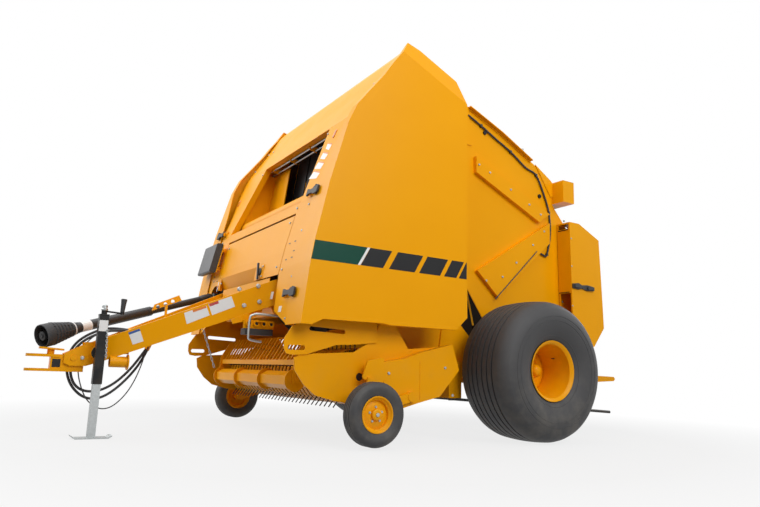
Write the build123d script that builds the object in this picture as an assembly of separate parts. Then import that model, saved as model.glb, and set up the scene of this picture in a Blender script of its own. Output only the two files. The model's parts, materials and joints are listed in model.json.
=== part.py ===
from build123d import *
import math
import os

# Round baler, drawn-type, standing on its two main tyres and its tongue jack.
# Millimetres. +X is the machine's left, +Y its rear, +Z up, ground at Z = 0.
# Every Y below is counted from the axle; save() shifts the model along Y so
# that the origin lies below the middle of the whole machine.

# ---------------------------------------------------------------- sizes
# running gear
TYRE_OD = 1050.0
TYRE_W = 546.0
TRACK = 2328.0
RIM_R = 204.0
RIM_FLANGE_R = 224.0
RIM_HALF = 225.0
SPINDLE_R = 35.0
AXLE_SIDE = 100.0
AXLE_HALF = 878.0
GAUGE_OD = 404.0
GAUGE_W = 124.0
GAUGE_X = 1240.0
GAUGE_Y = -1455.0
GAUGE_LIFT = 11.0
GAUGE_RIM_R = 108.0
GAUGE_PIN_R = 13.0
GAUGE_BEAD = 20.0

# bale chamber
WALL_IN = 775.0
WALL_T = 8.0
GATE_IN = 789.0
GATE_T = 8.0
GATE_PIVOT = (-900.0, 2500.0)
GATE_PIN_R = 25.0
SHAFT_R = 18.0

# shields and front
SHIELD_X = 1166.0
SHIELD_DEPTH = 50.0
SHEET = 6.0
HOOD_X = 1090.0
PANEL_T = 5.0
DOOR_GAP = 8.0
HINGE_R = 7.0

# tongue
HITCH_TIP_Y = -3344.0
HITCH_BORE_R = 17.0
HITCH_EDGE = 52.0
CLEVIS_LOW = (412.0, 430.0)
CLEVIS_TOP = (505.0, 523.0)
JACK_X = 190.0
JACK_Y = -2930.0
JACK_SIDE = 58.0
JACK_LEG = 48.0
JACK_MOUNT_Z = 542.0
FOOT_HALF = 120.0

# pickup
PICK_X = 1026.0
PICK_T = 8.0
COVER_T = 74.0
HANGER_X = 1040.0
REEL_Y = -1450.0
REEL_Z = 440.0
REEL_TIP_R = 250.0
REEL_BAR_R = 110.0
STRIP_R = 185.0
TINE_PITCH = 64.0
REEL_SIDE_GAP = 46.0
TINE_SIDE = 6.0
TINE_BARS = 5
STRIP_W = 40.0
PICK_PIVOT = (-720.0, 590.0)
GUARD_PIVOT = (-1240.0, 770.0)
GUARD_ROLL = (-1780.0, 402.0)
GUARD_DISC_R = 76.0
GUARD_X = 752.0

# driveline and rear
PTO_REAR = (-734.0, -1952.0, 1067.0)
PTO_FRONT = (0.0, -3263.0, 636.0)
YOKE_R = 34.0
PTO_INNER_R = 27.0
RAMP_REACH = 1591.0
BEAM = (668.0, 809.0, 2033.0, 2233.0)
BEAM_HALF = 930.0
HOSE_R = 9.0
CABLE_R = 4.0

RUN = 0.3
AXLE_Z = TYRE_OD / 2
HITCH_BORE_Y = HITCH_TIP_Y + HITCH_EDGE
TINE_ROWS = 2 * int((PICK_X - REEL_SIDE_GAP) / TINE_PITCH) + 1
AXLE_Y = (-HITCH_TIP_Y - RAMP_REACH) / 2
GAUGE_Z = GAUGE_OD / 2 + GAUGE_LIFT

os.makedirs("parts", exist_ok=True)


# ---------------------------------------------------------------- helpers
def save(name, shape):
    solids = [Pos(0, AXLE_Y, 0) * s for s in shape.solids()]
    export_step(solids[0] if len(solids) == 1 else Compound(solids), f"parts/{name}.step")


def mirrored(shape):
    return mirror(shape, Plane.YZ)


def plate(points, x0, x1):
    """Side-view outline of (Y, Z) points, as thick as x0 to x1."""
    face = make_face(Polyline(*points, close=True))
    return extrude(Plane.YZ.offset(min(x0, x1)) * face, abs(x1 - x0))


def rounded(points, radius, x0, x1):
    """The same, with every corner rounded."""
    face = make_face(Polyline(*points, close=True))
    face = fillet(face.vertices(), radius)
    return extrude(Plane.YZ.offset(min(x0, x1)) * face, abs(x1 - x0))


def bent(points, t, x0, x1):
    """A sheet t thick in Y that follows (Y, Z) points, as wide as x0 to x1."""
    back = [(y + t, z) for y, z in reversed(points)]
    return plate(list(points) + back, x0, x1)


def rod_x(y, z, x0, x1, r):
    return Pos((x0 + x1) / 2, y, z) * Rot(0, 90, 0) * Cylinder(r, abs(x1 - x0))


def rod_z(x, y, z0, z1, r):
    return Pos(x, y, (z0 + z1) / 2) * Cylinder(r, abs(z1 - z0))


def block(x0, x1, y0, y1, z0, z1):
    size = (abs(x1 - x0), abs(y1 - y0), abs(z1 - z0))
    return Pos((x0 + x1) / 2, (y0 + y1) / 2, (z0 + z1) / 2) * Box(*size)


def along(p, q):
    """A plane at p whose normal points to q and whose local Y stays up."""
    n = (Vector(*q) - Vector(*p)).normalized()
    side = Vector(0, 0, 1).cross(n).normalized()
    return Plane(origin=p, x_dir=side, z_dir=n)


def bar(p, q, w, h):
    """A box section from p to q, w wide and h high."""
    length = (Vector(*q) - Vector(*p)).length
    return extrude(along(p, q) * Rectangle(w, h), length)


def tube(p, q, r, bore=0.0):
    length = (Vector(*q) - Vector(*p)).length
    face = Circle(r) if bore == 0 else Circle(r) - Circle(bore)
    return extrude(along(p, q) * face, length)


def turned(profile, x, y, z):
    """A (r, x) section revolved about the X axis through (y, z)."""
    face = make_face(profile)
    solid = revolve(face, Axis.Y)
    return Pos(x, y, z) * Rot(0, 0, -90) * solid


def window(points, shape):
    """The part of a shape inside a front-view outline of (X, Z) points."""
    face = make_face(Polyline(*points, close=True))
    return shape & extrude(Plane.XZ.offset(-500) * face, 4500)


def group(solids):
    return Compound(children=solids)


# ---------------------------------------------------------------- wheels
def main_tyre():
    half = TYRE_W / 2
    out = TYRE_OD / 2
    bore = RIM_R + RUN
    rim = RIM_HALF - 14
    outline = (
        Polyline((bore, -rim), (bore + 30, -rim - 4))
        + ThreePointArc((bore + 30, -rim - 4), (out - 160, -half), (out - 50, -half + 20))
        + ThreePointArc((out - 50, -half + 20), (out - 22, -half + 34), (out - 12, -half + 62))
        + ThreePointArc((out - 12, -half + 62), (out, 0), (out - 12, half - 62))
        + ThreePointArc((out - 12, half - 62), (out - 22, half - 34), (out - 50, half - 20))
        + ThreePointArc((out - 50, half - 20), (out - 160, half), (bore + 30, rim + 4))
        + Polyline((bore + 30, rim + 4), (bore, rim), (bore, -rim))
    )
    return turned(outline, 0, 0, 0)


def main_rim():
    """One-piece rim with its dished disc, hub barrel and cap, axis along +X."""
    f = RIM_FLANGE_R
    h = RIM_HALF
    s = SPINDLE_R + RUN
    section = Polyline(
        (s, -60), (60, -60), (60, 40), (110, 52), (150, 30), (176, 30), (RIM_R - 10, -40),
        (RIM_R - 10, -h + 6), (f, -h), (f, -h + 8), (RIM_R, -h + 14), (RIM_R, h - 14),
        (f, h - 8), (f, h), (RIM_R - 10, h - 6), (RIM_R - 10, -20), (178, 42), (150, 44),
        (110, 66), (62, 56), (62, 120), (50, 130), (0, 130), (0, 122), (s, 122),
        close=True,
    )
    return turned(section, 0, 0, 0)


def gauge_tyre():
    half = GAUGE_W / 2
    out = GAUGE_OD / 2
    bore = GAUGE_RIM_R + RUN
    bead = half - GAUGE_BEAD
    outline = (
        Polyline((bore, -bead), (bore + 12, -bead))
        + ThreePointArc((bore + 12, -bead), (out - 50, -half), (out - 14, -half + 16))
        + ThreePointArc((out - 14, -half + 16), (out, 0), (out - 14, half - 16))
        + ThreePointArc((out - 14, half - 16), (out - 50, half), (bore + 12, bead))
        + Polyline((bore + 12, bead), (bore, bead), (bore, -bead))
    )
    return turned(outline, 0, 0, 0)


def gauge_rim():
    r = GAUGE_RIM_R
    s = GAUGE_PIN_R + RUN
    b = GAUGE_W / 2 - GAUGE_BEAD + RUN
    section = Polyline(
        (s, -34), (28, -34), (28, -10), (70, 4), (r - 6, 4), (r - 6, -b - 5), (r + 8, -b - 5),
        (r + 8, -b), (r, -b), (r, b), (r + 8, b), (r + 8, b + 5), (r - 6, b + 5), (r - 6, 10),
        (70, 10), (28, -4), (28, 30), (s, 30),
        close=True,
    )
    return turned(section, 0, 0, 0)


for side, name in ((1, "left"), (-1, "right")):
    face = Rot(0, 0, 0) if side > 0 else Rot(0, 0, 180)
    at = Pos(side * TRACK / 2, 0, AXLE_Z) * face
    save(f"main_tyre_{name}", at * main_tyre())
    save(f"main_rim_{name}", at * main_rim())
    at = Pos(side * GAUGE_X, GAUGE_Y, GAUGE_Z) * face
    save(f"gauge_tyre_{name}", at * gauge_tyre())
    save(f"gauge_rim_{name}", at * gauge_rim())


# ---------------------------------------------------------------- main frame
RAIL_X0, RAIL_X1 = WALL_IN + WALL_T, 868.0
CROSS_Y = (-1700.0, -1600.0)
CROSS_Z = (880.0, 1040.0)
CYL_X = 848.0
CYL_R = 36.0
CYL_FOOT = (-480.0, 975.0)
CYL_EYE = (-640.0, 2330.0)
CYL_PIN_R = 20.0
CYL_ROD_R = 20.0
RAMP_PIVOT = (90.0, 430.0)
RAMP_SHAFT_R = 24.0

# the pin axis of each side shield, inside its rear edge, and the pins' heights
SHIELD_HINGE = (SHIELD_X - 26, -676.0)
HINGE_Z = (1010.0, 2160.0)


def main_frame():
    """Axle, rails, front cross beam and the lugs that carry pickup and ramp."""
    a = AXLE_SIDE / 2
    body = block(-AXLE_HALF, AXLE_HALF, -a, a, AXLE_Z - a, AXLE_Z + a)
    half = []
    tip = TRACK / 2 + 20
    half.append(rod_x(0, AXLE_Z, AXLE_HALF, tip, SPINDLE_R))
    half.append(block(RAIL_X0, RAIL_X1, -1100, a, AXLE_Z - a, AXLE_Z + a))
    fy, fz = CYL_FOOT
    half.append(plate([(fy - 140, AXLE_Z + a), (fy + 130, AXLE_Z + a), (fy + 34, fz - 20),
                       (fy + 16, fz + 34), (fy - 70, fz + 34)], RAIL_X0, RAIL_X0 + 12))
    half.append(rod_x(*CYL_FOOT, RAIL_X0 + 12, CYL_X - 28, CYL_PIN_R + 14))
    half.append(rod_x(*CYL_FOOT, RAIL_X0 + 12, CYL_X + 40, CYL_PIN_R))
    half.append(rod_x(*CYL_FOOT, CYL_X + 28, CYL_X + 40, CYL_PIN_R + 12))
    half.append(rod_x(*PICK_PIVOT, RAIL_X0, PICK_X + PICK_T + 14, 22))
    half.append(block(RAIL_X0, RAIL_X1, -760, -680, AXLE_Z + a, 640))
    half.append(block(RAIL_X0, RAIL_X1, -560, -440, 300, AXLE_Z))
    ry, rz = RAMP_PIVOT
    lug = plate([(a - 10, AXLE_Z - a), (a, AXLE_Z + 20), (ry + 44, rz + 10), (ry + 30, rz - 38),
                 (ry - 30, rz - 38)], 520, 532)
    half.append(lug - rod_x(ry, rz, 515, 540, RAMP_SHAFT_R + RUN))
    for part in half:
        body = body + part + mirrored(part)
    return body + block(-RAIL_X0, RAIL_X0, -560, -440, 300, 450)


save("main_frame", main_frame())
save("cross_beam", block(-WALL_IN, WALL_IN, *CROSS_Y, *CROSS_Z))

# fixed walls of the bale chamber, with the front rollers' shaft holes
FRONT_ROLLS = ((-1180.0, 2570.0, 70.0), (-1330.0, 1130.0, 110.0), (-1060.0, 840.0, 80.0))
WALL_SPLIT = 880.0
WALL = [(-1700, WALL_SPLIT), (-1700, 1060), (-1660, 1500), (-1560, 2150), (-1300, 2560),
        (-1100, 2690), (-790, 2640), (-560, 2600), (-500, 1500), (-420, 900), (-399, WALL_SPLIT)]
WALL_LOW = [(-399, WALL_SPLIT), (-150, 640), (-60, 576), (-60, 500), (-700, 500), (-880, 620),
            (-1150, 780), (-1180, WALL_SPLIT)]
WALL_FRONT = ((1060, -1700), (1500, -1660), (2150, -1560), (2560, -1300))


def side_wall():
    x0 = WALL_IN + WALL_T
    sheets = []
    for outline in (WALL, WALL_LOW):
        sheet = plate(outline, WALL_IN, x0)
        for y, z, r in FRONT_ROLLS:
            sheet = sheet - rod_x(y, z, WALL_IN - 5, x0 + 5, SHAFT_R + RUN)
        sheets.append(sheet)
    boss = rod_x(*GATE_PIVOT, x0, GATE_IN + 60, GATE_PIN_R)
    # shield post, the stays that carry it and the arms that hold its pins
    hx, hy = SHIELD_HINGE
    post = block(hx - 90, hx - 50, hy - 80, hy - 40, 900, 2420)
    for z in HINGE_Z:
        post = post + block(hx - 60, hx + 9, hy - 60, hy - 44, z - 6, z + 6)
        post = post + block(hx - 9, hx + 9, hy - 60, hy + 9, z - 6, z + 6)
        post = post - rod_z(hx, hy, z - 10, z + 10, HINGE_R + RUN)
    for z in (960, 1620, 2360):
        post = post + block(x0, hx - 85, hy - 75, hy - 45, z - 20, z + 20)
    return group(sheets + [boss, post])


save("side_wall_left", side_wall())
save("side_wall_right", mirrored(side_wall()))


def rollers(rows, inner, seat):
    """Drums between the walls, each on its own shaft."""
    drums = []
    for y, z, r in rows:
        drum = rod_x(y, z, -inner, inner, r) + rod_x(y, z, -seat, seat, SHAFT_R)
        drums.append(drum)
    return group(drums)


save("front_rollers", rollers(FRONT_ROLLS, WALL_IN - 10, WALL_IN + WALL_T + 12))

BELT_W = 220.0
BELT_T = 6.0
BELTS = 6


def belts(rows):
    """Endless belts side by side, each stretched round the given rollers."""
    inner = make_hull([e for y, z, r in rows for e in (Pos(y, z) * Circle(r + RUN)).edges()])
    outer = make_hull([e for y, z, r in rows
                       for e in (Pos(y, z) * Circle(r + RUN + BELT_T)).edges()])
    loop = outer - inner
    pitch = 2 * (WALL_IN - 20) / BELTS
    bands = []
    for i in range(BELTS):
        mid = (i - (BELTS - 1) / 2) * pitch
        bands.append(extrude(Plane.YZ.offset(mid - BELT_W / 2) * loop, BELT_W))
    return group(bands)


save("front_belts", belts(FRONT_ROLLS))

# ---------------------------------------------------------------- front body
# side view of the shields' front edge, and of the middle panels set into it
SHIELD_FRONT = [(-1960, 756), (-1914, 1163), (-1893, 1290), (-1805, 1698), (-1683, 2142),
                (-1620, 2282), (-1410, 2558), (-1337, 2672), (-1256, 2783)]
FRONT = [(-1948, 750), (-1902, 1163), (-1881, 1290), (-1805, 1640), (-1550, 2284),
         (-1375, 2558), (-1310, 2672), (-1244, 2783)]
# front view, (X, Z): the shields' inner edge, and the pillars' outer and inner edges
SEAM = [(931, 754), (920, 926), (914, 1113), (924, 1493), (950, 1646), (991, 1857), (1076, 2077),
        (1095, 2130), (1095, 2790)]
PILLAR_OUT = [(927, 756), (916, 926), (910, 1113), (920, 1493), (944, 1646), (981, 1857),
              (1064, 2077), (1085, 2130), (1085, 2284)]
PILLAR_IN = [(678, 863), (652, 1114), (698, 1548), (727, 1645), (622, 2284)]


def at_height(pts, z):
    """First coordinate of a line of (value, Z) points at height z."""
    for (a0, z0), (a1, z1) in zip(pts, pts[1:]):
        if z <= z1:
            return a0 + (a1 - a0) * (z - z0) / (z1 - z0)
    return pts[-1][0]


def front_y(z):
    return at_height(FRONT, z)


def front_line(z0, z1):
    inner = [z for _, z in FRONT if z0 < z < z1]
    return [(front_y(z), z) for z in [z0] + inner + [z1]]


PILLAR_Z = (756.0, 2284.0)
DOOR_Z = (1122.0, 1546.0)
SILL_Z = (1562.0, 1640.0)
DOOR_AXIS = (20.0, 1536.0)
LOW_HALF = 500.0
PTO_HOLE_R = 105.0
FLANGE = 55.0


def wall_front(z):
    """Y of the chamber wall's front edge at height z."""
    for (z0, y0), (z1, y1) in zip(WALL_FRONT, WALL_FRONT[1:]):
        if z <= z1:
            return y0 + (y1 - y0) * max(0.0, z - z0) / (z1 - z0)
    return WALL_FRONT[-1][1]


def edge_strip(line, t):
    """A front-view strip t wide along a line of (X, Z) points, towards +X."""
    return line + [(x + t, z) for x, z in reversed(line)]


def shelf(z, x0, x1, y1):
    """A level rib 8 thick from the back of the front panels to y1."""
    t = PANEL_T
    side = [(front_y(z - 4) + t, z - 4), (y1, z - 4), (y1, z + 4), (front_y(z + 4) + t, z + 4)]
    return plate(side, x0, x1)


HANGER = [(-1958, 745), (-2009, 663), (-2008, 606), (-1992, 572), (-1940, 565), (-1850, 572),
          (-1640, 640), (-1500, 650), (-1330, 670), (-1330, 800), (-1640, 820), (-1640, 904),
          (-1900, 904), (-1925, 760)]


def slot_x(p, q, r, x0, x1):
    """A slot cutter through X, with round ends at two (Y, Z) points."""
    hull = make_hull([e for y, z in (p, q) for e in (Pos(y, z) * Circle(r)).edges()])
    return extrude(Plane.YZ.offset(x0) * hull, x1 - x0)


def pillar():
    line = front_line(*PILLAR_Z)
    outline = PILLAR_IN + list(reversed(PILLAR_OUT))
    face = window(outline, bent(line, PANEL_T, 600, HOOD_X))
    rib = bent(line, FLANGE, 600, HOOD_X)
    face = face + window(edge_strip(PILLAR_IN, PANEL_T), rib)
    outer = [(x - PANEL_T, z) for x, z in PILLAR_OUT]
    face = face + window(edge_strip(outer, PANEL_T), rib)
    x0 = WALL_IN + WALL_T
    pieces = [face, shelf(1400, x0, 900, wall_front(1400) + 60)]
    pieces.append(shelf(2160, x0, 1060, wall_front(2160) + 60))
    back = shelf(908, x0, 905, wall_front(908) + 60)
    back = back + block(895, HANGER_X, -1800, -1640, 904, 912)
    pieces.append(back)
    hanger = plate(HANGER, HANGER_X, HANGER_X + 6)
    hanger = hanger - slot_x((-1826, 736), (-1590, 728), 14, HANGER_X - 2, HANGER_X + 8)
    hanger = hanger - slot_x((-1968, 610), (-1876, 612), 15, HANGER_X - 2, HANGER_X + 8)
    pieces.append(hanger + block(HANGER_X - 30, HANGER_X + 6, -1800, -1640, 896, 904))
    return group(pieces)


save("front_pillar_left", pillar())
hole = Pos(PTO_REAR[0], front_y(PTO_REAR[2]), PTO_REAR[2]) * Rot(90, 0, 0)


def box_bracket():
    """Sheet behind the manual box on the right pillar."""
    line = [(y - 40, z) for y, z in front_line(1290, 1540)]
    sheet = bent(line, PANEL_T, -900, -700)
    for z in (1330, 1500):
        side = [(front_y(z - 15) - 38, z - 15), (front_y(z - 15), z - 15),
                (front_y(z + 15), z + 15), (front_y(z + 15) - 38, z + 15)]
        sheet = sheet + plate(side, -880, -760)
    return sheet


right = mirrored(pillar()) - hole * Cylinder(PTO_HOLE_R, 160)
save("front_pillar_right", group(list(right.solids()) + [box_bracket()]))
BOX = [(front_y(1290) - 97, 1290), (front_y(1555) - 97, 1555), (front_y(1555) - 40, 1555),
       (front_y(1290) - 40, 1290)]
save("manual_box", rounded(BOX, 12, -1063, -724))


DOOR_PIN = (front_y(DOOR_AXIS[1]) + DOOR_AXIS[0], DOOR_AXIS[1])
SILL = [(at_height(PILLAR_IN, z), z) for z in SILL_Z]


def front_sill():
    """The strip between the door and the net opening, with the door's hinge lugs."""
    outline = SILL + [(-x, z) for x, z in reversed(SILL)]
    z = SILL_Z[1]
    strip = bent(front_line(*SILL_Z), PANEL_T, -740, 740)
    strip = strip + block(-740, 740, front_y(z) + 1, front_y(z) + 50, z - 5, z)
    strip = window(outline, strip)
    y, zp = DOOR_PIN
    for x in (-500, 500):
        lug = plate([(y, zp - 10), (y + 32, zp - 10), (y + 32, zp + 50), (y - 6, zp + 66),
                     (y - 6, zp + 46), (y + 16, zp + 30), (y + 12, zp + 10), (y, zp + 10)], x - 4, x + 4)
        lug = lug + rod_x(y, zp, x - 4, x + 4, 10)
        strip = strip + lug - rod_x(y, zp, x - 8, x + 8, 6 + RUN)
    return strip


save("front_sill", front_sill())
LOW_PANEL = [(front_y(1112), 1112), (front_y(960) + 6, 960), (front_y(960) + 70, 850)]
save("lower_panel", bent(LOW_PANEL, PANEL_T, -LOW_HALF, LOW_HALF)
     + block(-LOW_HALF, LOW_HALF, front_y(960) + 20, CROSS_Y[0], 900, 915))

# the door's lower middle is folded back below FOLD_Z, left of FOLD_X
FOLD_Z = 1222.0
FOLD_X = 190.0


def front_door():
    z0, z1 = DOOR_Z
    edge = [(at_height(PILLAR_IN, z) - DOOR_GAP, z) for z in DOOR_Z]
    outline = edge + [(-x, z) for x, z in reversed(edge)]
    line = front_line(z0, z1)
    skin = window(outline, bent(line, PANEL_T, -740, 740))
    left = [(x - PANEL_T, z) for x, z in edge]
    flange = window(edge_strip(left, PANEL_T), bent(line, 32, 500, 740))
    skin = skin + flange + mirrored(flange)
    skin = skin - block(-620, FOLD_X, front_y(z0) - 40, front_y(FOLD_Z) + 20, z0 - 10, FOLD_Z)
    yf = front_y(FOLD_Z)
    fold = bent([(yf + 34, z0), (yf, FOLD_Z)], PANEL_T, -639, FOLD_X)
    skin = skin + fold + bent([(yf, FOLD_Z), (yf - 2, FOLD_Z + 6)], PANEL_T, -620, FOLD_X)
    skin = skin + plate([(front_y(z0), z0), (yf + 34, z0), (yf, FOLD_Z)], FOLD_X - PANEL_T, FOLD_X)
    y, zp = DOOR_PIN
    for x in (-488, 488):
        skin = skin + plate([(front_y(zp + 8) + 3, zp + 8), (y + 8, zp + 8), (y + 8, zp - 8),
                             (front_y(zp - 8) + 3, zp - 8)], x - 5, x + 5)
        out = math.copysign(1, x)
        skin = skin + rod_x(y, zp, x, x + out * 20, 6)
    return skin


save("front_door", front_door())

HOOD_Z = (2284.0, 2783.0)


def hood():
    """Front sheet with its lip, roof sheet and two cheeks."""
    line = front_line(*HOOD_Z)
    x = HOOD_X
    t = PANEL_T
    skin = bent(line, t, -x, x) + block(-x, x, line[0][0] + 1, line[0][0] + 70, HOOD_Z[0], HOOD_Z[0] + 6)
    ridge = [(-1190, 2846), (-1078, 2826), (-970, 2781)]
    roof = [line[-1]] + ridge
    under = [(y, z - 6) for y, z in reversed(ridge)] + [(line[-1][0] + t, line[-1][1])]
    top = plate(roof + under, -x, x)
    side = [(y + t, z) for y, z in line] + [(y, z - 6) for y, z in ridge]
    side = side + [(-970, 2700), (-1230, 2640), (-1340, 2480), (line[0][0] + 60, 2296),
                   (line[0][0] + 60, 2290), (line[0][0] + t, 2290)]
    cheek = plate([p for p in side if p[1] != HOOD_Z[0]], x - t, x)
    return group([skin, top, cheek, mirrored(cheek)])


save("hood", hood())

# net bay seen through the opening: back sheet, floor and the two end plates
NET_ROLL = (-1655.0, 1705.0, 62.0)
NET_X = 714.0
NET_BACK_X = -380.0


def net_box():
    y0 = front_y(1660) + 20
    back = [(y0 + 280, 1634), (-1420, 2255), (-1412, 2255), (y0 + 288, 1634)]
    side = [(y0 + 46, 1634), (y0 + 280, 1634), (-1420, 2255), (front_y(2255) + 20, 2255)]
    hole = rod_x(NET_ROLL[0], NET_ROLL[1], NET_X - 10, NET_X + 20, SHAFT_R + RUN)
    end = plate(side, NET_X, NET_X + 6) - hole
    floor = block(-NET_X - 6, NET_X + 6, y0 + 46, y0 + 288, 1629, 1634)
    sheet = plate(back, -NET_X - 6, NET_BACK_X)
    strap = plate(back, NET_X - 40, NET_X + 6)
    foot = block(NET_X + 6, WALL_IN, y0 + 200, y0 + 230, 1690, 1720)
    return group([end, mirrored(end), floor, sheet, strap, foot, mirrored(foot)])


save("net_box", net_box())
save("net_roller", rod_x(NET_ROLL[0], NET_ROLL[1], 20 - NET_X, NET_X - 20, NET_ROLL[2])
     + rod_x(NET_ROLL[0], NET_ROLL[1], -NET_X - 14, NET_X + 14, SHAFT_R))


# ---------------------------------------------------------------- side shields
SHIELD = SHIELD_FRONT + [(-715, 2553), (-652, 2523), (-637, 882), (-737, 789), (-1299, 786),
                         (-1361, 795), (-1807, 793), (-1882, 755)]


def inset(points, d):
    face = make_face(Polyline(*points, close=True))
    return offset(face, -d, kind=Kind.INTERSECTION)


def side_shield():
    top = [(-1196, 2884), (-1077, 2860), (-727, 2710)]
    outline = SHIELD_FRONT + top + SHIELD[len(SHIELD_FRONT) + 1:]
    inner = SHIELD_X - SHIELD_DEPTH
    solid = plate(outline, inner, SHIELD_X)
    hollow = extrude(Plane.YZ.offset(inner) * inset(outline, SHEET), SHIELD_DEPTH - SHEET)
    # the upper rear band leans inward above the line from the peak to the rear corner
    peak = Vector(SHIELD_X, -1256, 2783)
    run = Vector(0, 541, -230).normalized()
    rise = Vector(-36, 44.5, 106.0).normalized()
    lean = Plane(origin=peak, x_dir=run, z_dir=run.cross(rise))
    solid = solid - extrude(lean * Rectangle(3000, 1200), 400)
    band = solid & extrude(lean * Rectangle(3000, 1200), -SHEET)
    shell = (solid - hollow) + band
    # knuckle lugs beside the rear edge
    hx, hy = SHIELD_HINGE
    for z in HINGE_Z:
        lug = block(hx - 12, SHIELD_X - SHEET, hy - 12, hy + 12, z + 7, z + 17)
        shell = shell + lug + rod_z(hx, hy, z - 14, z + 8, HINGE_R)
    wrap = bent(SHIELD_FRONT, SHEET, 900, inner)
    wrap = window(SEAM + [(inner, 2790), (inner, 750)], wrap)
    return group([shell, wrap])


save("side_shield_left", side_shield())
save("side_shield_right", mirrored(side_shield()))

# ---------------------------------------------------------------- tongue
ARM_W = 60.0
ARM_FRONT = (78.0, -2946.0, 542.0)
ARM_REAR = (560.0, -1890.0, 1005.0)
CHEEK_TIP_Y = -3124.0

# loops of hose and cable that hang at the tongue: X of each, radius, (Y, Z) points
HOSES = {
    "hose_upper": (-98.0, HOSE_R, [
        (-2712, 708), (-2795, 713), (-2928, 671), (-3023, 602), (-3064, 522), (-3061, 415),
        (-3036, 339), (-2989, 294), (-2923, 278), (-2843, 293), (-2759, 345), (-2675, 434),
        (-2614, 525), (-2579, 584)]),
    "hose_lower": (-124.0, HOSE_R, [
        (-2712, 715), (-2831, 728), (-2941, 686), (-3035, 618), (-3080, 530), (-3081, 414),
        (-3046, 323), (-2981, 255), (-2913, 228), (-2833, 240), (-2744, 305), (-2655, 406),
        (-2595, 502), (-2565, 576)]),
    "light_cable": (-80.0, CABLE_R, [
        (-2712, 697), (-2808, 702), (-2920, 676), (-2990, 600), (-3018, 510), (-3014, 405),
        (-2981, 302), (-2941, 226), (-2886, 181), (-2832, 162), (-2767, 181), (-2692, 259),
        (-2641, 355), (-2606, 460), (-2587, 545), (-2568, 600)]),
}
GLAND_TOP = 640.0


def gland(x, r, end, before, depth):
    """Sleeve that a hose's end face meets, on the same line, depth long."""
    way = (Vector(0, *end) - Vector(0, *before)).normalized() * depth
    p = (x, *end)
    return tube(p, (x, end[0] + way.Y, end[1] + way.Z), r + 4)


def tongue():
    front = Plane(origin=ARM_FRONT, x_dir=(1, 0, 0), z_dir=(0, 1, 0))
    rear = Plane(origin=ARM_REAR, x_dir=(1, 0, 0), z_dir=(0, 1, 0))
    tail = Plane(origin=(ARM_REAR[0] + 40, CROSS_Y[0], 965.0), x_dir=(1, 0, 0), z_dir=(0, 1, 0))
    arm = loft([front * Rectangle(ARM_W, 150), rear * Rectangle(ARM_W, 180)])
    arm = arm + loft([rear * Rectangle(ARM_W, 180), tail * Rectangle(ARM_W, 150)])
    nose = plate([(CHEEK_TIP_Y, 470), (CHEEK_TIP_Y, 530), (-2980, 606), (ARM_FRONT[1], 617),
                  (ARM_FRONT[1], 467), (-2990, 452), (-3090, 452)], 48, 66)
    arm = arm + nose + block(48, 66, ARM_FRONT[1] - 60, ARM_FRONT[1] + 4, 470, 610)
    both = arm + mirrored(arm)
    tie = block(-140, 140, -2790, -2740, 540, 640)
    web = block(-50, 50, ARM_FRONT[1] - 40, ARM_FRONT[1] - 28, 470, 600)
    both = both + tie + web
    both = both + rod_x(JACK_Y, JACK_MOUNT_Z, 90, JACK_X - JACK_SIDE / 2 - 18, 34)
    both = both + rod_x(JACK_Y, JACK_MOUNT_Z, JACK_X - JACK_SIDE / 2 - 18,
                        JACK_X - JACK_SIDE / 2 - 10, 48)
    # cross strips between the arms that hold the hoses' sleeves, and the coupler plate
    both = both + block(-166, 166, -2692, -2676, 640, 728)
    both = both + block(-228, 228, -2575, -2535, 636, 652)
    for x, r, pts in HOSES.values():
        both = both + gland(x, r, pts[0], pts[1], 30)
        rise = (pts[-1][1] - pts[-2][1]) / math.dist(pts[-1], pts[-2])
        both = both + gland(x, r, pts[-1], pts[-2], (GLAND_TOP - pts[-1][1]) / rise)
    both = both + block(-250, 250, -2510, -2494, 700, 760) + block(56, 66, -2510, -2494, 750, 900)
    holder = plate([(-2600, 850), (-2586, 896), (-2419, 977), (-2398, 940)], 58, 64)
    for y, z in ((-2560, 881), (-2510, 905), (-2460, 929)):
        holder = holder - rod_x(y, z, 50, 70, 13)
    both = both + holder
    hole = rod_x(-3070, 502, -90, 90, 18) + rod_x(-3014, 505, -90, 90, 10)
    return both - hole


save("tongue", tongue())


def hose(x, r, pts):
    """A round hose along (Y, Z) points, each corner an arc that suits its runs."""
    bends = []
    for a, b, c in zip(pts, pts[1:], pts[2:]):
        turn = math.atan2(c[1] - b[1], c[0] - b[0]) - math.atan2(b[1] - a[1], b[0] - a[0])
        turn = abs((turn + math.pi) % (2 * math.pi) - math.pi)
        bends.append(0.45 * min(math.dist(a, b), math.dist(b, c)) / math.tan(turn / 2))
    path = FilletPolyline(*[(x, y, z) for y, z in pts], radius=bends)
    return sweep(Plane(origin=path @ 0, z_dir=path % 0) * Circle(r), path=path), path.length


for name, (x, r, pts) in HOSES.items():
    solid, length = hose(x, r, pts)
    save(name, solid)


def hitch():
    """Clevis with two tongues of plate, held between the cheeks on cross pins."""
    tip = HITCH_TIP_Y
    r = HITCH_BORE_Y - tip
    body = None
    for z0, z1 in (CLEVIS_LOW, CLEVIS_TOP):
        strap = block(-r, r, HITCH_BORE_Y, -3150, z0, z1)
        strap = strap + rod_z(0, HITCH_BORE_Y, z0, z1, r)
        body = strap if body is None else body + strap
    body = body + block(-46, 46, -3200, -3000, CLEVIS_LOW[0], CLEVIS_TOP[1])
    body = body - rod_z(0, HITCH_BORE_Y, 380, 560, HITCH_BORE_R)
    body = body + rod_x(-3070, 502, -72, 72, 17.7) + rod_x(-3014, 505, -72, 72, 9.7)
    return body


save("hitch_clevis", hitch())


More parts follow.
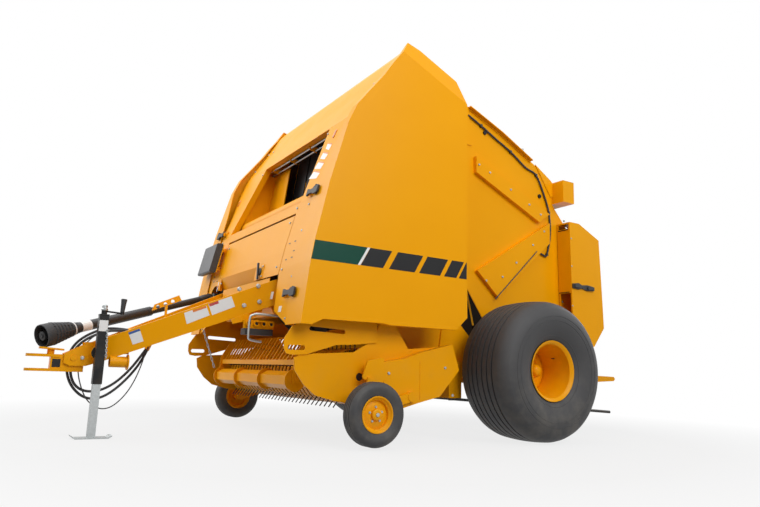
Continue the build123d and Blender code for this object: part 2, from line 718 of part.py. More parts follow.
def jack_tube():
    s = JACK_SIDE / 2
    top = 790.0
    body = block(JACK_X - s, JACK_X + s, JACK_Y - s, JACK_Y + s, 340, top)
    k = JACK_LEG / 2 + RUN
    body = body - block(JACK_X - k, JACK_X + k, JACK_Y - k, JACK_Y + k, 300, top - 12)
    body = body + rod_z(JACK_X, JACK_Y, top, top + 30, 18)
    body = body + rod_x(JACK_Y, JACK_MOUNT_Z, JACK_X - s - 10, JACK_X - s + 1, 46)
    crank = tube((JACK_X, JACK_Y, top + 24), (JACK_X, JACK_Y + 112, top + 16), 6)
    grip = rod_z(JACK_X, JACK_Y + 112, top + 8, top + 100, 13)
    return body + crank + grip


save("jack_tube", jack_tube())


def jack_leg():
    k = JACK_LEG / 2
    leg = block(JACK_X - k, JACK_X + k, JACK_Y - k, JACK_Y + k, 5, 520)
    y0, y1 = JACK_Y - FOOT_HALF, JACK_Y + FOOT_HALF
    lip = [(y0, 14), (y0 + 22, 0), (y1 - 22, 0), (y1, 14), (y1, 20), (y1 - 24, 6), (y0 + 24, 6), (y0, 20)]
    return leg + plate(lip, JACK_X - 60, JACK_X + 60)


save("jack_leg", jack_leg())

# ---------------------------------------------------------------- driveline
PTO_DIR = (Vector(*PTO_FRONT) - Vector(*PTO_REAR)).normalized()


def pto(d):
    """A point on the driveline, d from its rear joint."""
    p = Vector(*PTO_REAR) + PTO_DIR * d
    return (p.X, p.Y, p.Z)


PTO_LEN = (Vector(*PTO_FRONT) - Vector(*PTO_REAR)).length


def gearbox():
    x = PTO_REAR[0]
    z = PTO_REAR[2]
    y0, y1 = -1842.0, CROSS_Y[0]
    case = block(x - 110, x + 70, y0, y1 - 30, z - 120, z + 120)
    case = case + block(x - 90, x + 60, y1 - 32, y1, CROSS_Z[0] + 40, CROSS_Z[1])
    front = PTO_REAR[1] + YOKE_R + RUN
    neck = Pos(x, (front + y0) / 2 + 1, z) * Rot(90, 0, 0) * Cylinder(42, y0 - front + 2)
    return case + neck


save("gearbox", gearbox())


def driveline_rear():
    """Joint yoke, round behind so that it can swing, and the inner guard tube."""
    r = YOKE_R
    arc = [(r * math.sin(a), -r * math.cos(a)) for a in (0.3, 0.6, 0.9, 1.2, 1.5708)]
    line = Polyline(
        (0, arc[0][1]), *arc, (r, 70), (r - 4, 110), (PTO_INNER_R, 120),
        (PTO_INNER_R, PTO_LEN * 0.74), (0, PTO_LEN * 0.74), close=True
    )
    body = along(PTO_REAR, PTO_FRONT) * revolve(Plane.XZ * make_face(line), Axis.Z)
    across = Vector(0, 0, 1).cross(PTO_DIR).normalized()
    return body + Plane(origin=PTO_REAR, z_dir=across) * Cylinder(12, 2 * YOKE_R + 8)


def driveline_front():
    sleeve = tube(pto(PTO_LEN * 0.42), pto(PTO_LEN - 210), 36, PTO_INNER_R + RUN)
    cone = loft([along(pto(PTO_LEN - 240), PTO_FRONT) * Circle(40),
                 along(pto(PTO_LEN - 60), pto(PTO_LEN + 10)) * Circle(78)])
    core = tube(pto(PTO_LEN - 225), pto(PTO_LEN), 30)
    return sleeve + cone + core


save("driveline_rear", driveline_rear())
save("driveline_front", driveline_front())


# ---------------------------------------------------------------- pickup
def pickup_side():
    outline = [(-1930, 545), (-1919, 468), (-1852, 380), (-1772, 318), (-1636, 284), (-1448, 259),
               (-1180, 236), (-900, 330), (-660, 500), (-660, 650), (-780, 670), (-1060, 640),
               (-1180, 806), (-1300, 806), (-1345, 690), (-1500, 600), (-1880, 572)]
    side = plate(outline, PICK_X, PICK_X + PICK_T)
    side = side - rod_x(REEL_Y, REEL_Z, PICK_X - 5, PICK_X + PICK_T + 5, 25.5)
    side = side - rod_x(*PICK_PIVOT, PICK_X - 5, PICK_X + PICK_T + 5, 22.5)
    side = side - rod_x(*GUARD_PIVOT, PICK_X - 5, PICK_X + PICK_T + 5, 16.5)
    return side


def pickup_frame():
    side = pickup_side()
    low = block(-PICK_X, PICK_X, -1180, -1110, 250, 300)
    top = block(-PICK_X, PICK_X, -1180, -1110, 600, 650)
    web = block(-PICK_X, PICK_X, -1150, -1144, 300, 600)
    return group([side, mirrored(side), low, top, web])


save("pickup_frame", pickup_frame())


def strippers():
    """Bands that wrap the reel between its rows of tines."""
    r = STRIP_R
    t = 5.0
    y1 = -1180.0 - RUN
    top = 645.0
    low = 252.0
    line = (
        Line((y1, top), (REEL_Y, REEL_Z + r))
        + ThreePointArc((REEL_Y, REEL_Z + r), (REEL_Y - r, REEL_Z), (REEL_Y, REEL_Z - r))
        + Line((REEL_Y, REEL_Z - r), (y1, low))
        + Line((y1, low), (y1, low + t))
        + Line((y1, low + t), (REEL_Y, REEL_Z - r + t))
        + ThreePointArc((REEL_Y, REEL_Z - r + t), (REEL_Y - r + t, REEL_Z), (REEL_Y, REEL_Z + r - t))
        + Line((REEL_Y, REEL_Z + r - t), (y1, top - t))
        + Line((y1, top - t), (y1, top))
    )
    face = make_face(line)
    bands = []
    for i in range(TINE_ROWS - 1):
        mid = (i - (TINE_ROWS - 2) / 2) * TINE_PITCH
        bands.append(extrude(Plane.YZ.offset(mid - STRIP_W / 2) * face, STRIP_W))
    return group(bands)


save("stripper_bands", strippers())


def reel():
    """Shaft, end discs and the bars that carry the tines."""
    half = (TINE_ROWS - 1) / 2 * TINE_PITCH
    body = rod_x(0, 0, -PICK_X - PICK_T, PICK_X + PICK_T, 25)
    for x in (-half - 18, 0, half + 18):
        body = body + rod_x(0, 0, x - 5, x + 5, REEL_BAR_R + 22)
    bars = []
    for b in range(TINE_BARS):
        rail = block(-half - 18, half + 18, -12, 12, REEL_BAR_R - 10, REEL_BAR_R + 10)
        tines = [rail]
        for i in range(TINE_ROWS):
            x = -half + i * TINE_PITCH
            s = TINE_SIDE / 2
            tines.append(block(x - s, x + s, -s, s, REEL_BAR_R + 5, REEL_TIP_R))
        whole = tines[0].fuse(*tines[1:])
        bars.append(Rot(360 / TINE_BARS * b, 0, 0) * whole)
    body = body.fuse(*bars)
    return Pos(0, REEL_Y, REEL_Z) * body


save("pickup_reel", reel())


def pickup_cover():
    outline = [(-724, 687), (-660, 507), (-833, 320), (-1013, 277), (-1150, 240), (-1300, 300),
               (-1306, 543), (-1131, 572), (-1013, 615)]
    x0 = PICK_X + PICK_T
    box = plate(outline, x0, x0 + COVER_T)
    box = box - rod_x(*PICK_PIVOT, x0 - 5, x0 + 40, 36)
    return box


save("pickup_cover_left", pickup_cover())
save("pickup_cover_right", mirrored(pickup_cover()))


def gauge_arm():
    x = PICK_X + PICK_T + COVER_T
    plate_up = rounded([(-1480, 430), (-1440, 545), (-1310, 575), (-1310, 400)], 20, x, x + 10)
    arm = bar((x + 24, -1090, 318), (x + 24, GAUGE_Y, GAUGE_Z), 12, 60)
    hub = rod_x(-1090, 318, x, x + 34, 34) + rod_x(GAUGE_Y, GAUGE_Z, x + 18, x + 32, 34)
    strut = plate([(-1430, 220), (-1400, 430), (-1440, 440), (-1480, 230)], x + 10, x + 24)
    axle = rod_x(GAUGE_Y, GAUGE_Z, x + 18, GAUGE_X + 40, GAUGE_PIN_R)
    return plate_up + arm + hub + strut + axle


save("gauge_arm_left", gauge_arm())
save("gauge_arm_right", mirrored(gauge_arm()))


GUARD_BAR = (-1787.0, -1752.0, 505.0, 540.0)
FINGERS = int((GUARD_X - 12) / TINE_PITCH) + 1
# front and top lengths of each arm, drawn round the reel's tine circle
ARM_PARTS = (
    [(-1808, 382), (-1752, 382), (-1750, 520), (-1800, 560)],
    [(-1750, 520), (-1690, 650), (-1730, 680), (-1800, 560)],
    [(-1690, 650), (-1500, 722), (-1240, 750), (-1212, 772), (-1240, 796), (-1520, 758),
     (-1730, 680)],
)


def windguard():
    """Two arms, each in three lengths with its pivot rod, and the bar between them."""
    pieces = [block(-GUARD_X, GUARD_X, *GUARD_BAR)]
    for k, outline in enumerate(ARM_PARTS):
        arm = plate(outline, GUARD_X, GUARD_X + 8)
        if k == 0:
            arm = arm - rod_x(*GUARD_ROLL, GUARD_X - 10, GUARD_X + 20, 12.5)
        pieces = pieces + [arm, mirrored(arm)]
    rod = rod_x(*GUARD_PIVOT, GUARD_X + 8, PICK_X + PICK_T, 16)
    return group(pieces + [rod, mirrored(rod)])


save("windguard", windguard())


def guard_fingers():
    """Bent fingers on the bar: a short riser and a long run back over the reel."""
    foot = GUARD_BAR[3]
    pieces = []
    for i in range(FINGERS):
        x = (i - (FINGERS - 1) / 2) * 2 * TINE_PITCH
        pieces.append(plate([(-1778, foot), (-1762, foot), (-1668, 700), (-1678, 712)], x - 6, x + 6))
        pieces.append(plate([(-1668, 700), (-1300, 737), (-1300, 749), (-1678, 712)], x - 6, x + 6))
    return group(pieces)


save("guard_fingers", guard_fingers())


def guard_roller():
    y, z = GUARD_ROLL
    half = GUARD_X - 12
    body = Pos(-half, y, z) * Rot(0, 90, 0) * extrude(RegularPolygon(60, 6), 2 * half)
    for x in (-half, -half / 3, half / 3, half):
        body = body + rod_x(y, z, x - 5, x + 5, GUARD_DISC_R)
    return body + rod_x(y, z, -GUARD_X - 10, GUARD_X + 10, 12)


save("windguard_roller", guard_roller())

# ---------------------------------------------------------------- tailgate
GATE = [(-545, 2725), (-338, 2717), (27, 2570), (457, 2359), (648, 2244),
        (BEAM[0] - RUN, 2229), (BEAM[0] - RUN, 2033), (700, 1990),
        (850, 1830), (1086, 1716), (1112, 1090), (1118, 930), (985, 770), (705, 640),
        (520, 610), (180, 600), (-40, 760), (-330, 1160), (-400, 1600)]
GATE_ROLLS = ((-150.0, 2530.0, 60.0), (500.0, 2080.0, 60.0), (930.0, 1560.0, 60.0),
              (1020.0, 960.0, 60.0), (330.0, 680.0, 60.0))
GATE_OUT = GATE_IN + GATE_T
POD_HINGE = (GATE_OUT + 15, 1150.0)
POD_HINGE_Z = (960.0, 1640.0)


HEM = [(-338, 2717), (27, 2570), (390, 2392)]


def gate_side():
    """Side sheet with its pivot arm, pressed stiffeners, top hem, cylinder pin and hinges."""
    side = plate(GATE, GATE_IN, GATE_OUT)
    py, pz = GATE_PIVOT
    arm = [(py - 50, pz - 30), (py, pz - 60), (-560, 2380), (-300, 2380), (-338, 2717), (-545, 2725),
           (py + 10, pz + 60), (py - 50, pz + 30)]
    side = side + plate(arm, GATE_OUT, GATE_OUT + 8) + plate(arm, GATE_IN, GATE_OUT)
    side = side - rod_x(*GATE_PIVOT, GATE_IN - 5, GATE_OUT + 20, GATE_PIN_R + RUN)
    ey, ez = CYL_EYE
    lug = [(ey - 40, ez - 40), (ey + 40, ez - 40), (ey + 60, 2400), (ey - 40, 2420)]
    side = side + plate(lug, GATE_IN, GATE_OUT + 8)
    hx, hy = POD_HINGE
    hinges = []
    for z in POD_HINGE_Z:
        ear = block(GATE_OUT, hx + 9, hy - 100, hy + 9, z - 6, z + 6)
        hinges.append(ear - rod_z(hx, hy, z - 10, z + 10, HINGE_R + RUN))
        side = side + block(GATE_IN, GATE_OUT, hy - 100, hy - 20, z - 6, z + 6)
    for y, z, r in GATE_ROLLS:
        side = side - rod_x(y, z, GATE_IN - 5, GATE_OUT + 5, SHAFT_R + RUN)
    # pressed stiffeners that meet at the rear
    upper = plate([(-268, 2286), (-267, 2146), (468, 1828), (597, 1922)], GATE_OUT, GATE_OUT + 36)
    lower = plate([(595, 1838), (591, 1653), (-22, 1112), (-251, 1314)], GATE_OUT, GATE_OUT + 36)
    hem = plate(HEM + [(y, z - 8) for y, z in reversed(HEM)], GATE_OUT + 8, GATE_OUT + 41)
    hem = hem + plate(HEM + [(y, z - 20) for y, z in reversed(HEM)], GATE_OUT, GATE_OUT + 8)
    pin = rod_x(ey, ez, GATE_OUT + 8, CYL_X - 22 - RUN, CYL_PIN_R)
    return group([side, upper, lower, pin] + hinges + list(hem.solids()))


save("tailgate_side_left", gate_side())
save("tailgate_side_right", mirrored(gate_side()))
save("tailgate_rollers", rollers(GATE_ROLLS, GATE_IN - 14, GATE_OUT + 12))
save("tailgate_belts", belts(GATE_ROLLS))

def tailgate_beam():
    y0, y1, z0, z1 = BEAM
    body = block(-BEAM_HALF, BEAM_HALF, y0, y1, z0, z1)
    body = body - block(-BEAM_HALF + 6, BEAM_HALF - 6, y0 + 6, y1 + 1, z0 + 6, z1 - 6)
    for x in (-BEAM_HALF + 130, -560, 0, 560, BEAM_HALF - 130):
        body = body + block(x - 4, x + 4, y0 + 2, y1, z0 + 2, z1 - 2)
    body = body + block(-GATE_IN, GATE_IN, 640, 668, 2040, 2200)
    gusset = plate([(452, 2368), (650, 2250), (y0 + 4, 2229), (y0 + 4, 2100), (640, 2100)],
                   GATE_OUT, GATE_OUT + 8)
    return body + gusset + mirrored(gusset)


save("tailgate_beam", tailgate_beam())

POD = [(718, 1850), (843, 1850), (1105, 1731), (1135, 1094), (1141, 928), (1003, 756), (740, 756)]
POD_X = (GATE_OUT + 6, 950.0)


def pod():
    x0, x1 = POD_X
    shell = plate(POD, x0, x1)
    shell = shell - extrude(Plane.YZ.offset(x0) * inset(POD, SHEET), x1 - x0 - SHEET)
    # open windows in the front wall, above and below its middle
    for z0, z1 in ((1792, 1836), (790, 1214)):
        shell = shell - block(x0 + 16, x1 - 14, 700, 760, z0, z1)
    hx, hy = POD_HINGE
    for z in POD_HINGE_Z:
        shell = shell - block(x0 - 1, hx + 15, hy - 110, hy + 40, z - 30, z + 7)
        shell = shell + block(hx - 9, hx + 9, hy - 56, hy + 9, z + 7, z + 17)
        shell = shell + rod_z(hx, hy, z - 14, z + 8, HINGE_R)
    return shell


save("rear_pod_left", pod())
save("rear_pod_right", mirrored(pod()))


# ---------------------------------------------------------------- cylinders
def cyl_points():
    foot = Vector(CYL_X, *CYL_FOOT)
    eye = Vector(CYL_X, *CYL_EYE)
    return foot, eye, (eye - foot).normalized()


def cyl_at(d):
    foot, _, way = cyl_points()
    p = foot + way * d
    return (p.X, p.Y, p.Z)


CYL_BARREL_L = 860.0


def barrel():
    body = tube(cyl_at(40), cyl_at(CYL_BARREL_L), CYL_R)
    body = body - tube(cyl_at(120), cyl_at(CYL_BARREL_L - 50), 26)
    body = body - tube(cyl_at(CYL_BARREL_L - 60), cyl_at(CYL_BARREL_L + 5), CYL_ROD_R + RUN)
    eye = rod_x(*CYL_FOOT, CYL_X - 24, CYL_X + 24, 44)
    body = body + eye
    return body - rod_x(*CYL_FOOT, CYL_X - 30, CYL_X + 30, CYL_PIN_R + RUN)


def cyl_rod():
    foot, eye, _ = cyl_points()
    length = (eye - foot).length
    body = tube(cyl_at(500), cyl_at(length - 30), CYL_ROD_R)
    body = body + rod_x(*CYL_EYE, CYL_X - 22, CYL_X + 22, 38)
    return body


save("cylinder_left", barrel())
save("cylinder_right", mirrored(barrel()))
save("cylinder_rod_left", cyl_rod())
save("cylinder_rod_right", mirrored(cyl_rod()))


# ---------------------------------------------------------------- bale ramp
RAMP_ARM_X = 692.0
RAMP_RODS = (-676.0, -338.0, 0.0, 338.0, 676.0)


def ramp_arms():
    y, z = RAMP_PIVOT
    shaft = rod_x(y, z, -760, 760, RAMP_SHAFT_R)
    arm = plate([(y - 30, z - 30), (y + 30, z - 40), (RAMP_REACH - 20, 464), (RAMP_REACH, 484),
                 (RAMP_REACH - 20, 504), (1361, 508), (y, z + 34)], RAMP_ARM_X, RAMP_ARM_X + 12)
    arm = arm - rod_x(y, z, RAMP_ARM_X - 5, RAMP_ARM_X + 20, RAMP_SHAFT_R + RUN)
    return group([shaft, arm, mirrored(arm)])


def ramp_rods():
    """Curved-down rods that carry the bale, on lugs that clasp the shaft."""
    y, z = RAMP_PIVOT
    body = rod_x(900, 211, RAMP_RODS[0] - 40, RAMP_RODS[-1] + 40, 12)
    for x in RAMP_RODS:
        body = body + plate([(y - 20, z), (y + 20, z), (y + 90, 240), (y + 40, 240)], x - 6, x + 6)
        body = body + tube((x, y + 40, 256), (x, 1527, 176), 13)
        body = body - rod_x(y, z, x - 10, x + 10, RAMP_SHAFT_R + RUN)
    return body


save("bale_ramp", ramp_arms())
save("ramp_rods", ramp_rods())
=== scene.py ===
import json
import math

import bmesh
import bpy
from mathutils import Matrix, Vector


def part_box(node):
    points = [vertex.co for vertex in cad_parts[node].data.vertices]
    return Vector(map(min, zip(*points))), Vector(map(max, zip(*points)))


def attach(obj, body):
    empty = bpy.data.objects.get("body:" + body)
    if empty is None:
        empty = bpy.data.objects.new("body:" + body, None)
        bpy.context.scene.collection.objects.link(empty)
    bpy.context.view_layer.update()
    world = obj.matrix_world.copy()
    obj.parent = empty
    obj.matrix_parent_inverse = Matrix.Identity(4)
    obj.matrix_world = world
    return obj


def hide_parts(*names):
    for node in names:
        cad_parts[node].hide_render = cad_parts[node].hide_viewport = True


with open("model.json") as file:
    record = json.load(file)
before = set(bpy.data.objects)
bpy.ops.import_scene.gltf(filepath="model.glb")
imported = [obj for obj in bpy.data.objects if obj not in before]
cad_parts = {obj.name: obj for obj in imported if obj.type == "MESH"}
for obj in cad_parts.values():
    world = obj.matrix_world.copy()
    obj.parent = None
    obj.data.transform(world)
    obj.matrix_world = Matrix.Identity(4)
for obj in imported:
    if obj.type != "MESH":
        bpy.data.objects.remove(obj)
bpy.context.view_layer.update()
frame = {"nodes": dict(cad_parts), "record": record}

# Places below are written in millimetres with Y counted from the main axle,
# +X to the machine's left, +Y to its rear, +Z up, and at() turns them into the
# frame's metres.
tyre_low, tyre_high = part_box("main_tyre_left")
AXLE_Y = (tyre_low[1] + tyre_high[1]) / 2
AXLE_Z = (tyre_low[2] + tyre_high[2]) / 2
TYRE_X = (tyre_low[0] + tyre_high[0]) / 2


def at(x, y, z):
    return Vector((x / 1000, y / 1000 + AXLE_Y, z / 1000))


# ---------------------------------------------------------------- materials
def new_material(name):
    material = bpy.data.materials.new(name)
    material.use_nodes = True
    tree = material.node_tree
    tree.nodes.clear()
    shader = tree.nodes.new("ShaderNodeBsdfPrincipled")
    output = tree.nodes.new("ShaderNodeOutputMaterial")
    tree.links.new(shader.outputs["BSDF"], output.inputs["Surface"])
    return material, tree, shader


def add_node(tree, kind, **values):
    """A node whose named settings, or named inputs, are set."""
    node = tree.nodes.new(kind)
    for key, value in values.items():
        if key in node.inputs:
            node.inputs[key].default_value = value
        else:
            setattr(node, key, value)
    return node


def noise(tree, scale, detail=3.0, rough=0.55):
    """Noise over the row frame's own metres, so it is the same on every piece."""
    where = tree.nodes.new("ShaderNodeTexCoord")
    texture = add_node(tree, "ShaderNodeTexNoise", Scale=scale, Detail=detail, Roughness=rough)
    tree.links.new(where.outputs["Object"], texture.inputs["Vector"])
    return texture.outputs["Fac"]


def ramp(tree, source, stops):
    """A colour ramp over source; each stop is a place and a colour."""
    node = tree.nodes.new("ShaderNodeValToRGB")
    elements = node.color_ramp.elements
    while len(elements) < len(stops):
        elements.new(0.5)
    for element, (place, colour) in zip(elements, stops):
        element.position = place
        element.color = (*colour, 1)
    tree.links.new(source, node.inputs["Fac"])
    return node.outputs["Color"]


def mixed(tree, factor, a, b):
    """Colour a where factor is 0 and b where it is 1; either may be a socket."""
    node = tree.nodes.new("ShaderNodeMix")
    node.data_type = "RGBA"
    for socket, value in ((node.inputs[0], factor), (node.inputs[6], a), (node.inputs[7], b)):
        if isinstance(value, bpy.types.NodeSocket):
            tree.links.new(value, socket)
        else:
            socket.default_value = value if isinstance(value, float) else (*value, 1)
    return node.outputs[2]


def rough_between(tree, shader, source, low, high):
    """Roughness that drifts between low and high with source."""
    spread = add_node(tree, "ShaderNodeMapRange")
    spread.inputs["To Min"].default_value = low
    spread.inputs["To Max"].default_value = high
    tree.links.new(source, spread.inputs["Value"])
    tree.links.new(spread.outputs["Result"], shader.inputs["Roughness"])


def bump(tree, shader, height, strength, distance):
    node = add_node(tree, "ShaderNodeBump", Strength=strength, Distance=distance)
    tree.links.new(height, node.inputs["Height"])
    tree.links.new(node.outputs["Normal"], shader.inputs["Normal"])


def faded(tree, source, low, high, at_low, at_high):
    """source, from low to high, turned into at_low to at_high."""
    fade = add_node(tree, "ShaderNodeMapRange")
    for key, value in (("From Min", low), ("From Max", high), ("To Min", at_low), ("To Max", at_high)):
        fade.inputs[key].default_value = value
    tree.links.new(source, fade.inputs["Value"])
    return fade.outputs["Result"]


def grime_low(tree, top):
    """1 at the ground fading to 0 at the height top, broken up by noise."""
    where = tree.nodes.new("ShaderNodeNewGeometry")
    split = tree.nodes.new("ShaderNodeSeparateXYZ")
    tree.links.new(where.outputs["Position"], split.inputs[0])
    fade = faded(tree, split.outputs["Z"], 0.0, top, 1.0, 0.0)
    patch = ramp(tree, noise(tree, 9.0, 5.0), [(0.42, (0, 0, 0)), (0.72, (1, 1, 1))])
    both = add_node(tree, "ShaderNodeMath", operation="MULTIPLY")
    tree.links.new(fade, both.inputs[0])
    tree.links.new(patch, both.inputs[1])
    return both.outputs[0]


def painted(name, colour, darker, rough=0.28, coat=0.35, dust=0.25, shine=0.5):
    """Sprayed sheet metal: slight drift in the colour, orange peel, low dust."""
    material, tree, shader = new_material(name)
    drift = mixed(tree, noise(tree, 2.2), darker, colour)
    dusty = mixed(tree, grime_low(tree, 0.9), drift, (0.30, 0.23, 0.14))
    tree.links.new(mixed(tree, dust, drift, dusty), shader.inputs["Base Color"])
    rough_between(tree, shader, noise(tree, 5.0, 4.0), rough - 0.06, rough + 0.10)
    shader.inputs["Specular IOR Level"].default_value = shine
    shader.inputs["Coat Weight"].default_value = coat
    shader.inputs["Coat Roughness"].default_value = 0.12
    bump(tree, shader, noise(tree, 420.0, 2.0), 0.04, 0.002)
    return material


def plastic(name, colour, rough=0.5, grain=900.0, strength=0.12):
    material, tree, shader = new_material(name)
    lighter = tuple(c * 1.5 + 0.004 for c in colour)
    tree.links.new(mixed(tree, noise(tree, 14.0, 5.0), colour, lighter), shader.inputs["Base Color"])
    shader.inputs["Roughness"].default_value = rough
    bump(tree, shader, noise(tree, grain, 2.0), strength, 0.0006)
    return material


def metal(name, colour, rough=0.42, spangle=60.0):
    """Plated steel with the faint cloudiness of zinc."""
    material, tree, shader = new_material(name)
    darker = tuple(c * 0.72 for c in colour)
    tree.links.new(mixed(tree, noise(tree, spangle, 4.0), darker, colour), shader.inputs["Base Color"])
    shader.inputs["Metallic"].default_value = 1.0
    rough_between(tree, shader, noise(tree, spangle * 0.6, 4.0), rough - 0.1, rough + 0.15)
    bump(tree, shader, noise(tree, spangle * 8, 3.0), 0.08, 0.001)
    return material


def tyre_rubber():
    material, tree, shader = new_material("tyre_rubber")
    base = mixed(tree, noise(tree, 6.0, 6.0), (0.022, 0.022, 0.024), (0.040, 0.039, 0.040))
    dusty = mixed(tree, grime_low(tree, 0.7), base, (0.085, 0.078, 0.068))
    tree.links.new(dusty, shader.inputs["Base Color"])
    shader.inputs["Roughness"].default_value = 0.62
    bump(tree, shader, noise(tree, 260.0, 4.0), 0.18, 0.001)
    return material


YELLOW = painted("yellow_paint", (0.90, 0.385, 0.0005), (0.85, 0.35, 0.0005), 0.30, 0.0, 0.10, 0.12)
BLACK = painted("black_paint", (0.010, 0.010, 0.011), (0.006, 0.006, 0.007), 0.38, 0.0, 0.15, 0.22)
RUBBER = plastic("black_rubber", (0.014, 0.014, 0.015), 0.62, 500.0, 0.2)
BELT = plastic("belt_rubber", (0.012, 0.012, 0.012), 0.7, 220.0, 0.5)
PLASTIC = plastic("black_plastic", (0.012, 0.012, 0.014), 0.45)
ZINC = metal("zinc_plate", (0.42, 0.44, 0.44))
CHROME = metal("chrome_rod", (0.80, 0.80, 0.81), 0.12, 8.0)
CAST = painted("cast_paint", (0.030, 0.030, 0.032), (0.020, 0.020, 0.021), 0.55, 0.0)
TYRE = tyre_rubber()
TINE = metal("spring_steel", (0.060, 0.045, 0.035), 0.5, 40.0)
GREEN = painted("green_decal", (0.004, 0.060, 0.038), (0.003, 0.052, 0.032), 0.30, 0.0, 0.0, 0.15)
WHITE = painted("white_label", (0.80, 0.80, 0.79), (0.76, 0.76, 0.75), 0.35, 0.3, 0.1)
AMBER = painted("amber_lens", (0.75, 0.20, 0.01), (0.68, 0.16, 0.01), 0.15, 0.8, 0.0)
RED = painted("red_lens", (0.45, 0.012, 0.010), (0.40, 0.010, 0.008), 0.15, 0.8, 0.0)
ORANGE = painted("orange_label", (0.72, 0.20, 0.015), (0.68, 0.18, 0.012), 0.35, 0.3, 0.1)
BLUE = painted("blue_label", (0.02, 0.09, 0.32), (0.02, 0.08, 0.28), 0.35, 0.3, 0.1)

SLOT_MATERIALS = {
    "yellow_paint": YELLOW,
    "black_paint": BLACK,
    "tyre_rubber": TYRE,
    "zinc_plate": ZINC,
    "belt_rubber": BELT,
    "guard_plastic": PLASTIC,
    "chrome_rod": CHROME,
    "hose_rubber": RUBBER,
}
slot_of = {part["node"]: part["material_slot"] for part in frame["record"]["subparts"]}
for node, cad in frame["nodes"].items():
    for place in cad.material_slots:
        place.material = SLOT_MATERIALS[slot_of[node]]

for place in frame["nodes"]["pickup_reel"].material_slots:
    place.material = TINE


# ---------------------------------------------------------------- studio
LAMPS = (
    # name, place, aim, size, power; metres and watts
    ("top_box", (0.5, -2.0, 7.5), (0, 0, 1), (8, 8), 430),
    ("front_box", (-6.0, -7.5, 6.4), (0, -1.2, 1.6), (9, 6), 700),
    ("left_box", (8.5, 0.4, 5.6), (0.8, 0, 1.5), (6, 5), 500),
    ("rear_box", (1.0, 9.0, 4.5), (0, 0, 1.2), (6, 4), 180),
)
SKY_STRENGTH = 0.15
FLOOR_RADIUS = 40
FLOOR_DROP = 0.001
FLOOR_GREY = 0.32
FLOOR_FADE = (2.6, 5.0)
FLOOR_GLOW = (0.80, 1.0)


def softbox(name, place, aim, size, power):
    lamp = bpy.data.lights.new(name, "AREA")
    lamp.shape = "RECTANGLE"
    lamp.size, lamp.size_y = size
    lamp.energy = power
    holder = bpy.data.objects.new(name, lamp)
    bpy.context.scene.collection.objects.link(holder)
    holder.location = place
    holder.rotation_euler = (Vector(aim) - Vector(place)).to_track_quat("-Z", "Y").to_euler()


def seen_directly(tree):
    """1 for what the camera or a reflection sees, 0 for other light."""
    rays = tree.nodes.new("ShaderNodeLightPath")
    seen = add_node(tree, "ShaderNodeMath", operation="MAXIMUM")
    tree.links.new(rays.outputs["Is Camera Ray"], seen.inputs[0])
    tree.links.new(rays.outputs["Is Glossy Ray"], seen.inputs[1])
    return seen.outputs[0]


def pick_shader(tree, output, share, plain, shown):
    """The surface is plain where share is 0 and shown where it is 1."""
    pick = tree.nodes.new("ShaderNodeMixShader")
    for socket, value in zip(pick.inputs, (share, plain, shown)):
        tree.links.new(value, socket)
    tree.links.new(pick.outputs[0], output.inputs["Surface"])


def studio():
    """Soft lamps round the machine, and a backdrop that is seen as white."""
    scene = bpy.context.scene
    scene.view_settings.view_transform = "Standard"
    for lamp in LAMPS:
        softbox(*lamp)
    world = bpy.data.worlds.new("studio_world")
    world.use_nodes = True
    tree = world.node_tree
    tree.nodes.clear()
    output = tree.nodes.new("ShaderNodeOutputWorld")
    soft = add_node(tree, "ShaderNodeBackground", Strength=SKY_STRENGTH)
    soft.inputs["Color"].default_value = (0.95, 0.97, 1.0, 1)
    clear = add_node(tree, "ShaderNodeBackground", Strength=1.0)
    clear.inputs["Color"].default_value = (1, 1, 1, 1)
    pick_shader(tree, output, seen_directly(tree), soft.outputs[0], clear.outputs[0])
    scene.world = world


def floor():
    """A white floor that keeps the machine's shadow and has no edge in view."""
    bm = bmesh.new()
    bmesh.ops.create_circle(bm, cap_ends=True, segments=96, radius=FLOOR_RADIUS)
    data = bpy.data.meshes.new("floor")
    bm.to_mesh(data)
    bm.free()
    ground = bpy.data.objects.new("floor", data)
    ground.location = (0, 0, -FLOOR_DROP)
    bpy.context.scene.collection.objects.link(ground)
    material, tree, shader = new_material("floor_white")
    shader.inputs["Base Color"].default_value = (FLOOR_GREY, FLOOR_GREY, FLOOR_GREY, 1)
    shader.inputs["Roughness"].default_value = 0.8
    # seen directly it lightens with distance until it is as white as the backdrop
    where = tree.nodes.new("ShaderNodeTexCoord")
    far = add_node(tree, "ShaderNodeVectorMath", operation="LENGTH")
    tree.links.new(where.outputs["Object"], far.inputs[0])
    share = add_node(tree, "ShaderNodeMath", operation="MULTIPLY")
    tree.links.new(faded(tree, far.outputs["Value"], *FLOOR_FADE, *FLOOR_GLOW), share.inputs[0])
    tree.links.new(seen_directly(tree), share.inputs[1])
    glow = add_node(tree, "ShaderNodeEmission", Strength=1.0)
    glow.inputs["Color"].default_value = (1, 1, 1, 1)
    output = next(node for node in tree.nodes if node.type == "OUTPUT_MATERIAL")
    pick_shader(tree, output, share.outputs[0], shader.outputs["BSDF"], glow.outputs[0])
    data.materials.append(material)


CAMERA_PLACE = at(4728.5, -3637.1, 475.2)
CAMERA_TURN = math.radians(57.90)
CAMERA_PITCH = math.radians(10.58)
CAMERA_ROLL = math.radians(1.891)
CAMERA_LENS = 30.09


